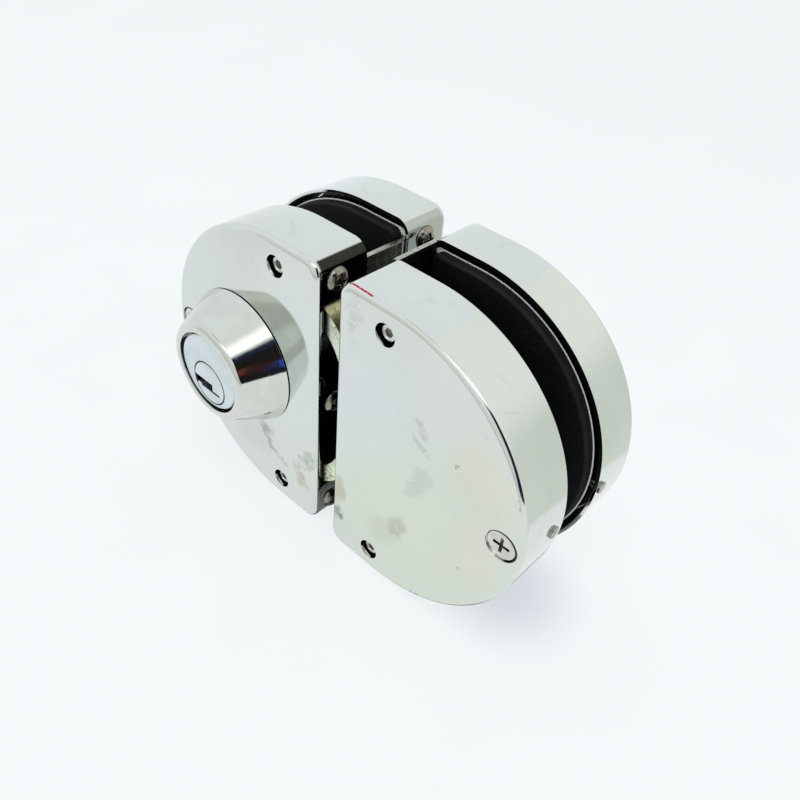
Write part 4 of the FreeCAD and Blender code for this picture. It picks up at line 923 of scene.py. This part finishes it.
@dataclass
class KeyCylinder:
    """Cylinder body, plug, pins and springs, and the guard that turns round them."""

    finishes: Palette
    spring_wire: float = 0.14 * MM
    spring_turns: int = 7
    steps_a_turn: int = 20
    wire_sides: int = 8

    def turned(self, name: str, node: str, tone: Colour, **values: object) -> TurnedMetal:
        """A turned finish centred on a node.

        Args:
            name: The finish's name.
            node: The node whose middle is the axis.
            tone: Its colour.
            **values: Other fields of the finish.

        Returns:
            The finish.
        """
        middle = middle_of(node)
        return TurnedMetal(name, tone, (middle.x, middle.z), **values)

    def coil(self, low: Vector, high: Vector) -> bmesh.types.BMesh:
        """One wound spring.

        Args:
            low: Lowest corner of the room that it fills.
            high: Highest corner.

        Returns:
            A spring that stands upright in that room.
        """
        middle = (low + high) / 2
        radius = (high.x - low.x) / 2 - self.spring_wire
        travel = high.z - low.z - 2 * self.spring_wire
        mesh = bmesh.new()
        start = Matrix.Translation((middle.x + radius, middle.y, low.z + self.spring_wire))
        section = bmesh.ops.create_circle(
            mesh, segments=self.wire_sides, radius=self.spring_wire,
            matrix=start @ Matrix.Rotation(math.pi / 2, 4, "X"))
        steps = self.spring_turns * self.steps_a_turn
        edges = list({edge for vertex in section["verts"] for edge in vertex.link_edges})
        bmesh.ops.spin(mesh, geom=edges, cent=middle, axis=(0, 0, 1), dvec=(0, 0, travel / steps),
                       angle=self.spring_turns * math.tau, steps=steps, use_merge=False)
        bmesh.ops.holes_fill(mesh, edges=[edge for edge in mesh.edges if edge.is_boundary])
        return mesh

    def build_springs(self, dresser: Dresser) -> bpy.types.Object:
        """Winds a spring over each driver pin.

        Args:
            dresser: Makes and assigns the materials.

        Returns:
            The springs, as one piece that stands for the plain sleeves.
        """
        low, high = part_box("pin_springs")
        width = high.x - low.x
        springs = bmesh.new()
        for centre in frame_rows("pin_springs", width):
            one = self.coil(Vector((low.x, centre - width / 2, low.z)),
                            Vector((high.x, centre + width / 2, high.z)))
            data = bpy.data.meshes.new("one_spring")
            one.to_mesh(data)
            one.free()
            springs.from_mesh(data)
            bpy.data.meshes.remove(data)
        made = dresser.piece(springs, "wound_pin_springs", self.finishes.spring)
        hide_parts("pin_springs")
        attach(made, "lock_and_strike")
        return made

    def dress(self, dresser: Dresser) -> None:
        """Gives the cylinder and the guard their finishes.

        Args:
            dresser: Makes and assigns the materials.
        """
        low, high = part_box("cylinder_plug")
        middle = (low + high) / 2
        seam = (middle.x, middle.z, (high.x - low.x) / 2)
        satin = {"ring_share": 0.5, "ring_depth": 0.010 * MM, "seam": seam}
        dresser.node("cylinder_body", self.turned(
            "satin_body", "cylinder_body", SATIN, roughness=0.34, speckle=0.35, **satin))
        dresser.node("cylinder_plug", self.turned(
            "satin_plug", "cylinder_plug", SATIN, roughness=0.30, speckle=0.30, **satin))
        dresser.node("cone_guard", self.turned(
            "mirror_guard", "cone_guard", (0.69, 0.715, 0.665), roughness=0.060,
            speckle=0.12, ring_share=0.10, ring_depth=0.002 * MM, wave=9.0))
        for name, finish in (
            ("guard_snap_ring", self.finishes.spring), ("cylinder_screws", self.finishes.screw),
            ("key_pins", self.finishes.brass), ("driver_pins", self.finishes.brass),
            ("chamber_caps", self.finishes.brass), ("plug_clip", self.finishes.spring),
            ("tailpiece", self.finishes.dull_zinc),
        ):
            dresser.node(name, finish)


@dataclass
class ClawMechanism:
    """Claws, gear, pivots and bearing plate."""

    finishes: Palette

    def claw_finish(self, node: str, height: float, tone: Colour, **values: object) -> Passivated:
        """Passivated zinc for a claw on a pivot at a height.

        Args:
            node: The claw.
            height: Its pivot's height.
            tone: Colour of its flat faces.
            **values: Other fields of the finish.

        Returns:
            The finish.
        """
        return Passivated(f"passivated_{node}", tone, pivot=(middle_of("claw_pivots").x, height), **values)

    def dress(self, dresser: Dresser) -> None:
        """Gives every node of the mechanism its finish.

        Args:
            dresser: Makes and assigns the materials.
        """
        low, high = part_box("claw_pivots")
        pin = (high.x - low.x) / 2
        dresser.node("upper_claw", self.claw_finish("upper_claw", high.z - pin, (0.74, 0.80, 0.68)))
        dresser.node("lower_claw", self.claw_finish(
            "lower_claw", low.z + pin, (0.76, 0.86, 0.64),
            outside=(0.48, 0.52, 0.30), speck=0.85, speck_from=0.53))
        for name, finish in (
            ("drive_sector", self.finishes.dull_zinc), ("mechanism_plate", self.finishes.dull_zinc),
            ("mechanism_standoffs", self.finishes.dull_zinc), ("claw_pivots", self.finishes.zinc),
        ):
            dresser.node(name, finish)


@dataclass(frozen=True)
class Zone:
    """A patch of the surroundings that polished metal mirrors; angles are in degrees."""

    tone: Colour
    left: float
    right: float
    low: float
    high: float
    soft_sides: float = 4.0
    soft_low: float = 1.0
    soft_high: float = 4.0
    lean: float = 0.0

    def mask(self, azimuth: Wire, elevation: Wire) -> Wire:
        """Where the patch is.

        Args:
            azimuth: Degrees from the front towards +X, from -172 to 188.
            elevation: Degrees above the horizon.

        Returns:
            A mask.
        """
        across = azimuth + self.lean * elevation
        sides = across.rise(self.left - self.soft_sides, self.left + self.soft_sides)
        sides = sides * across.rise(self.right + self.soft_sides, self.right - self.soft_sides)
        floor = elevation.rise(self.low - self.soft_low, self.low + self.soft_low)
        return sides * floor * elevation.rise(self.high + self.soft_high, self.high - self.soft_high)


ZONES = (
    Zone((0.97, 0.99, 0.96), 100, 200, -21, 62, 1, 0.8, 8),
    Zone((0.78, 0.82, 0.77), 96, 200, -21, 18, 1, 0.8, 12),
    Zone((0.94, 0.98, 1.02), -200, -60, -30, 70, 1, 4, 10),
    Zone((0.925, 0.925, 0.965), -124, -88, -20, 56, 1.5, 3, 3),
    Zone((0.66, 0.67, 0.64), -50, 50, -15, 17, 12, 2, 3),
    Zone((0.86, 0.88, 0.85), -50, 50, -5, 9, 12, 2.5, 3),
    Zone((0.58, 0.595, 0.565), -45, 20, 53, 62, 8, 2.5, 3),
    Zone((0.014, 0.012, 0.013), 52, 90, -9, 41.5, 5, 0.8, 4.5),
    Zone((0.018, 0.024, 0.06), 52, 90, 34, 41, 5, 3, 2.5),
    Zone((0.040, 0.014, 0.010), 71.4, 73, 3, 14, 0.2, 1.5, 1.5, 0.18),
    Zone((0.30, 0.07, 0.035), 69.8, 70.45, 7, 18, 0.12, 2, 1.5, 0.18),
    Zone((0.02, 0.19, 1.05), 73.40, 74.5, -7, 10.5, 0.10, 1, 1, 0.18),
    Zone((1.9, 1.9, 1.85), 5, 88, 46, 59, 14, 2.5, 8),
)


@dataclass
class Studio:
    """Floor, surroundings, lamp and camera."""

    floor_tone: Colour = (0.938, 0.96, 0.975)
    sky_tone: Colour = (0.955, 0.968, 0.975)
    sky_light: float = 0.80
    floor_glow: float = 0.84
    floor_end: float = -20.0
    shade_tone: Colour = (0.20, 0.21, 0.21)
    # A painted contact shadow on the floor by the strike unit's foot.
    touch_tone: Colour = (0.72, 0.755, 0.81)
    touch_place: tuple[float, float] = (60 * MM, 7 * MM)
    touch_reach: float = 28 * MM
    floor_size: float = 4.0
    far_share: float = 0.975
    eye_height: float = 55 * MM
    lamp_azimuth: float = 43.0
    lamp_elevation: float = 70.0
    lamp_distance: float = 0.60
    lamp_size: float = 0.36
    lamp_power: float = 1.15
    azimuth: float = 39.44
    elevation: float = 40.51
    roll: float = 5.73
    distance: float = 244.16 * MM
    aim: tuple[float, float, float] = (0.0, 5.8 * MM, 50.0 * MM)
    aim_right: float = 5.11 * MM
    aim_up: float = -5.5 * MM
    focal_pixels: float = 778.11
    frame_pixels: float = 800.0

    def direction(self, azimuth: float, elevation: float) -> Vector:
        """A direction from the part.

        Args:
            azimuth: Degrees from the front towards +X.
            elevation: Degrees above the floor.

        Returns:
            A vector of length 1.
        """
        turn = math.radians(azimuth)
        lift = math.radians(elevation)
        return Vector((math.sin(turn) * math.cos(lift), -math.cos(turn) * math.cos(lift), math.sin(lift)))

    def mirrored(self, graph: Graph, azimuth: Wire, elevation: Wire, open_tone: Colour) -> Wire:
        """What polished metal sees in a direction.

        Args:
            graph: The graph to build in.
            azimuth: Degrees from the front towards +X, from -180 to 180.
            elevation: Degrees above the horizon.
            open_tone: The colour where no zone lies.

        Returns:
            The colour.
        """
        whole = azimuth + 360.0 * azimuth.rise(-171.99, -172.01)
        colour = open_tone
        for zone in ZONES:
            colour = graph.mix(zone.mask(whole, elevation), colour, zone.tone)
        return colour

    def floor_tint(self, graph: Graph, x: Wire, y: Wire) -> Wire:
        """The floor's colour: faint clouds, greyer at the back, and a bluish painted contact shadow where the
        strike unit stands on it.

        Args:
            graph: The graph to build in.
            x: Across the doors.
            y: Depth.

        Returns:
            The colour.
        """
        clouds = graph.patches(60 * MM, 0.3, 0.7, 3.0)
        tone = graph.mix(clouds, self.floor_tone, darker(self.floor_tone, 0.985))
        tone = graph.mix(y.rise(0.0, 0.6), tone, darker(self.floor_tone, self.far_share))
        # Painted contact shadow.
        contact_shadow = distance(x, y, *self.touch_place)
        return graph.mix(contact_shadow.rise(self.touch_reach, 3 * MM), tone, self.touch_tone)

    def under_part(self, x: Wire, y: Wire, high: Vector) -> Wire:
        """The floor right under the part, behind the front plates' face.

        Args:
            x: Across the doors.
            y: Depth.
            high: Highest corner of the part.

        Returns:
            A mask.
        """
        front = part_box("strike_front_cover")[0].y
        across = abs(x).rise(high.x - 2 * MM, high.x - 14 * MM)
        return across * y.rise(front - 0.5 * MM, front + 1.0 * MM) * y.rise(high.y, high.y - 6 * MM)

    def floor_material(self, high: Vector) -> bpy.types.Material:
        """Pale and partly glowing, with the mirrored zones on it as far as polished metal sees it.

        Args:
            high: Highest corner of the part.

        Returns:
            The material.
        """
        material = bpy.data.materials.new("pale_floor")
        material.use_nodes = True
        graph = Graph(material.node_tree)
        x, y, _ = graph.axes(graph.position())
        tone = self.floor_tint(graph, x, y)
        under = self.under_part(x, y, high)
        away = (x * x + y * y) ** 0.5
        azimuth = x.sum("ARCTAN2", x, 0.0 - y) * math.degrees(1.0)
        elevation = away.sum("ARCTAN2", -self.eye_height, away) * math.degrees(1.0)
        camera, glossy, clear = graph.rays()
        far = glossy * elevation.rise(self.floor_end - 2.0, self.floor_end)
        seen = camera.most(glossy).most(clear) * self.floor_glow
        matt = graph.node("ShaderNodeBsdfDiffuse", {}, {"Color": tone})
        mirrored = self.mirrored(graph, azimuth, elevation, self.floor_tone)
        glow = graph.node("ShaderNodeEmission", {}, {
            "Color": graph.mix(glossy, tone, graph.mix(under, mirrored, self.shade_tone)), "Strength": 1.0})
        glowing = seen.most(far).most(glossy * under)
        both = graph.node("ShaderNodeMixShader", {}, {0: glowing, 1: matt, 2: glow})
        graph.finish("ShaderNodeOutputMaterial", both)
        return material

    def build_floor(self) -> bpy.types.Object:
        """A wide pale floor, white to the camera with a soft shadow, that metal sees end a little way off."""
        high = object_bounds()[1]
        mesh = bmesh.new()
        bmesh.ops.create_grid(mesh, x_segments=1, y_segments=1, size=self.floor_size)
        data = bpy.data.meshes.new("floor")
        mesh.to_mesh(data)
        mesh.free()
        floor = bpy.data.objects.new("floor", data)
        bpy.context.scene.collection.objects.link(floor)
        data.materials.append(self.floor_material(high))
        floor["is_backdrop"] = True
        return floor

    def build_surroundings(self) -> None:
        """A white room with the patches that polished metal mirrors."""
        world = bpy.data.worlds.new("white_room")
        bpy.context.scene.world = world
        world.use_nodes = True
        graph = Graph(world.node_tree)
        x, y, z = graph.axes(graph.node("ShaderNodeTexCoord", {}, {}, "Generated"))
        azimuth = x.sum("ARCTAN2", x, 0.0 - y) * math.degrees(1.0)
        elevation = z.sum("ARCSINE", z) * math.degrees(1.0)
        mirrored = self.mirrored(graph, azimuth, elevation, self.sky_tone)
        camera, glossy, clear = graph.rays()
        colour = graph.mix(glossy.most(clear), self.sky_tone, mirrored)
        strength = self.sky_light + (1.0 - self.sky_light) * camera.most(glossy).most(clear)
        back = graph.node("ShaderNodeBackground", {}, {"Color": colour, "Strength": strength})
        graph.finish("ShaderNodeOutputWorld", back)

    def build_lamp(self) -> bpy.types.Object:
        """One soft panel overhead, a little in front and to the right."""
        data = bpy.data.lights.new("overhead_panel", "AREA")
        data.shape = "SQUARE"
        data.size = self.lamp_size
        data.energy = self.lamp_power
        lamp = bpy.data.objects.new("overhead_panel", data)
        bpy.context.scene.collection.objects.link(lamp)
        away = self.direction(self.lamp_azimuth, self.lamp_elevation)
        lamp.location = Vector(self.aim) + away * self.lamp_distance
        lamp.rotation_euler = (-away).to_track_quat("-Z", "Y").to_euler()
        lamp.visible_glossy = False
        return lamp

    def build_camera(self) -> bpy.types.Object:
        """The photograph's viewpoint."""
        back = self.direction(self.azimuth, self.elevation)
        right = (-back).cross(Vector((0, 0, 1))).normalized()
        up = right.cross(-back)
        roll = math.radians(self.roll)
        level = right * math.cos(roll) + up * math.sin(roll)
        upright = up * math.cos(roll) - right * math.sin(roll)
        data = bpy.data.cameras.new("viewpoint")
        data.sensor_width = 36.0
        data.lens = self.focal_pixels * data.sensor_width / self.frame_pixels
        data.clip_start = 0.01
        camera = bpy.data.objects.new("viewpoint", data)
        bpy.context.scene.collection.objects.link(camera)
        place = Vector(self.aim) + back * self.distance + level * self.aim_right + upright * self.aim_up
        turn = Matrix((level, upright, back)).transposed().to_4x4()
        camera.matrix_world = Matrix.Translation(place) @ turn
        bpy.context.scene.camera = camera
        return camera

    def build(self) -> None:
        """Sets the whole studio up."""
        self.build_camera()
        self.build_floor()
        self.build_surroundings()
        self.build_lamp()
        bpy.context.scene.view_settings.view_transform = "Standard"


BROWN: Colour = (0.36, 0.28, 0.17)
GREY: Colour = (0.33, 0.35, 0.35)
MOSS: Colour = (0.24, 0.28, 0.23)
SOOT: Colour = (0.12, 0.12, 0.11)
ROSE: Colour = (0.78, 0.68, 0.62)
STRAW: Colour = (0.74, 0.70, 0.54)
GREENISH: Colour = (0.68, 0.76, 0.62)
BLUISH: Colour = (0.70, 0.76, 0.80)

LOCK_STAINS_AND_REFLECTION = (
    Stain(-60, 60, 8, GREY, 0.06),
    Stain(-14, 62, 20, BLUISH, 0.30, False, 2, 90),
    Stain(-28, 25, 2.8, MOSS, 0.80, True, 2.6, -66),
    Stain(-23, 18.5, 2.4, MOSS, 0.60, True, 2.6, -15),
    # A painted reflection of the cone's underside: a wide grey tint on the plate below the cone.
    Stain(-34, 21, 9, GREY, 0.16, False, 1.6, 35),
    Stain(-8, 26, 3.6, MOSS, 0.50, True, 1.8, 60),
    Stain(-11, 17, 3, BROWN, 0.55, True, 2.4, -60),
    Stain(-33, 88, 9, GREY, 0.07),
)
STRIKE_STAINS = (
    Stain(36, 30, 42, GREENISH, 0.55, False, 1.3, 20),
    Stain(14, 64, 21, BLUISH, 0.40, False, 1.5, 60),
    Stain(57, 66, 14, STRAW, 0.34, False, 1.3, -50),
    Stain(50, 64, 4, STRAW, 0.25, True, 1.8, -50),
    Stain(58, 40, 12, ROSE, 0.30, False, 1.6, 80),
    Stain(47, 24, 5, ROSE, 0.20, False, 1.8, 70),
    Stain(10, 91, 3.4, GREY, 0.26, True, 2.4, 80),
    Stain(31, 28, 3.6, BROWN, 0.24, False, 1.9, 62),
    Stain(31, 27, 2.8, BROWN, 0.25, True, 2, 62),
    Stain(26.5, 23, 6.5, BROWN, 0.13, False, 1.5, 40),
    Stain(37, 50.5, 3.8, GREY, 0.22, False, 2.3, 62),
    Stain(37, 70, 2, GREY, 0.40, True, 3.2, -38),
    Stain(36.5, 65, 1.5, GREY, 0.36, True, 3.4, -45),
    Stain(48.5, 66.5, 0.8, GREY, 0.60, False),
    Stain(54, 30.5, 1.1, GREY, 0.35, False, 1.8),
    Stain(6.2, 14, 3, SOOT, 0.65, True, 1.4, 50),
    Stain(6.2, 24, 3.8, BROWN, 0.40, False, 2.2, 80),
)
INK_LINE = (6.6 * MM, 15.6 * MM)


def main() -> None:
    """Dresses the lock and sets up the studio."""
    logging.basicConfig(level=logging.INFO, format="%(message)s")
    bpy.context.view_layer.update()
    dresser = Dresser()
    finishes = Palette()
    HalfMoonUnit(Side.LOCK, finishes, LOCK_STAINS_AND_REFLECTION, 5.6 * MM).dress(dresser)
    HalfMoonUnit(Side.STRIKE, finishes, STRIKE_STAINS, 0.8 * MM, INK_LINE).dress(dresser)
    ClawMechanism(finishes).dress(dresser)
    cylinder = KeyCylinder(finishes)
    cylinder.build_springs(dresser)
    cylinder.dress(dresser)
    Studio().build()


if __name__ == "__main__":
    main()
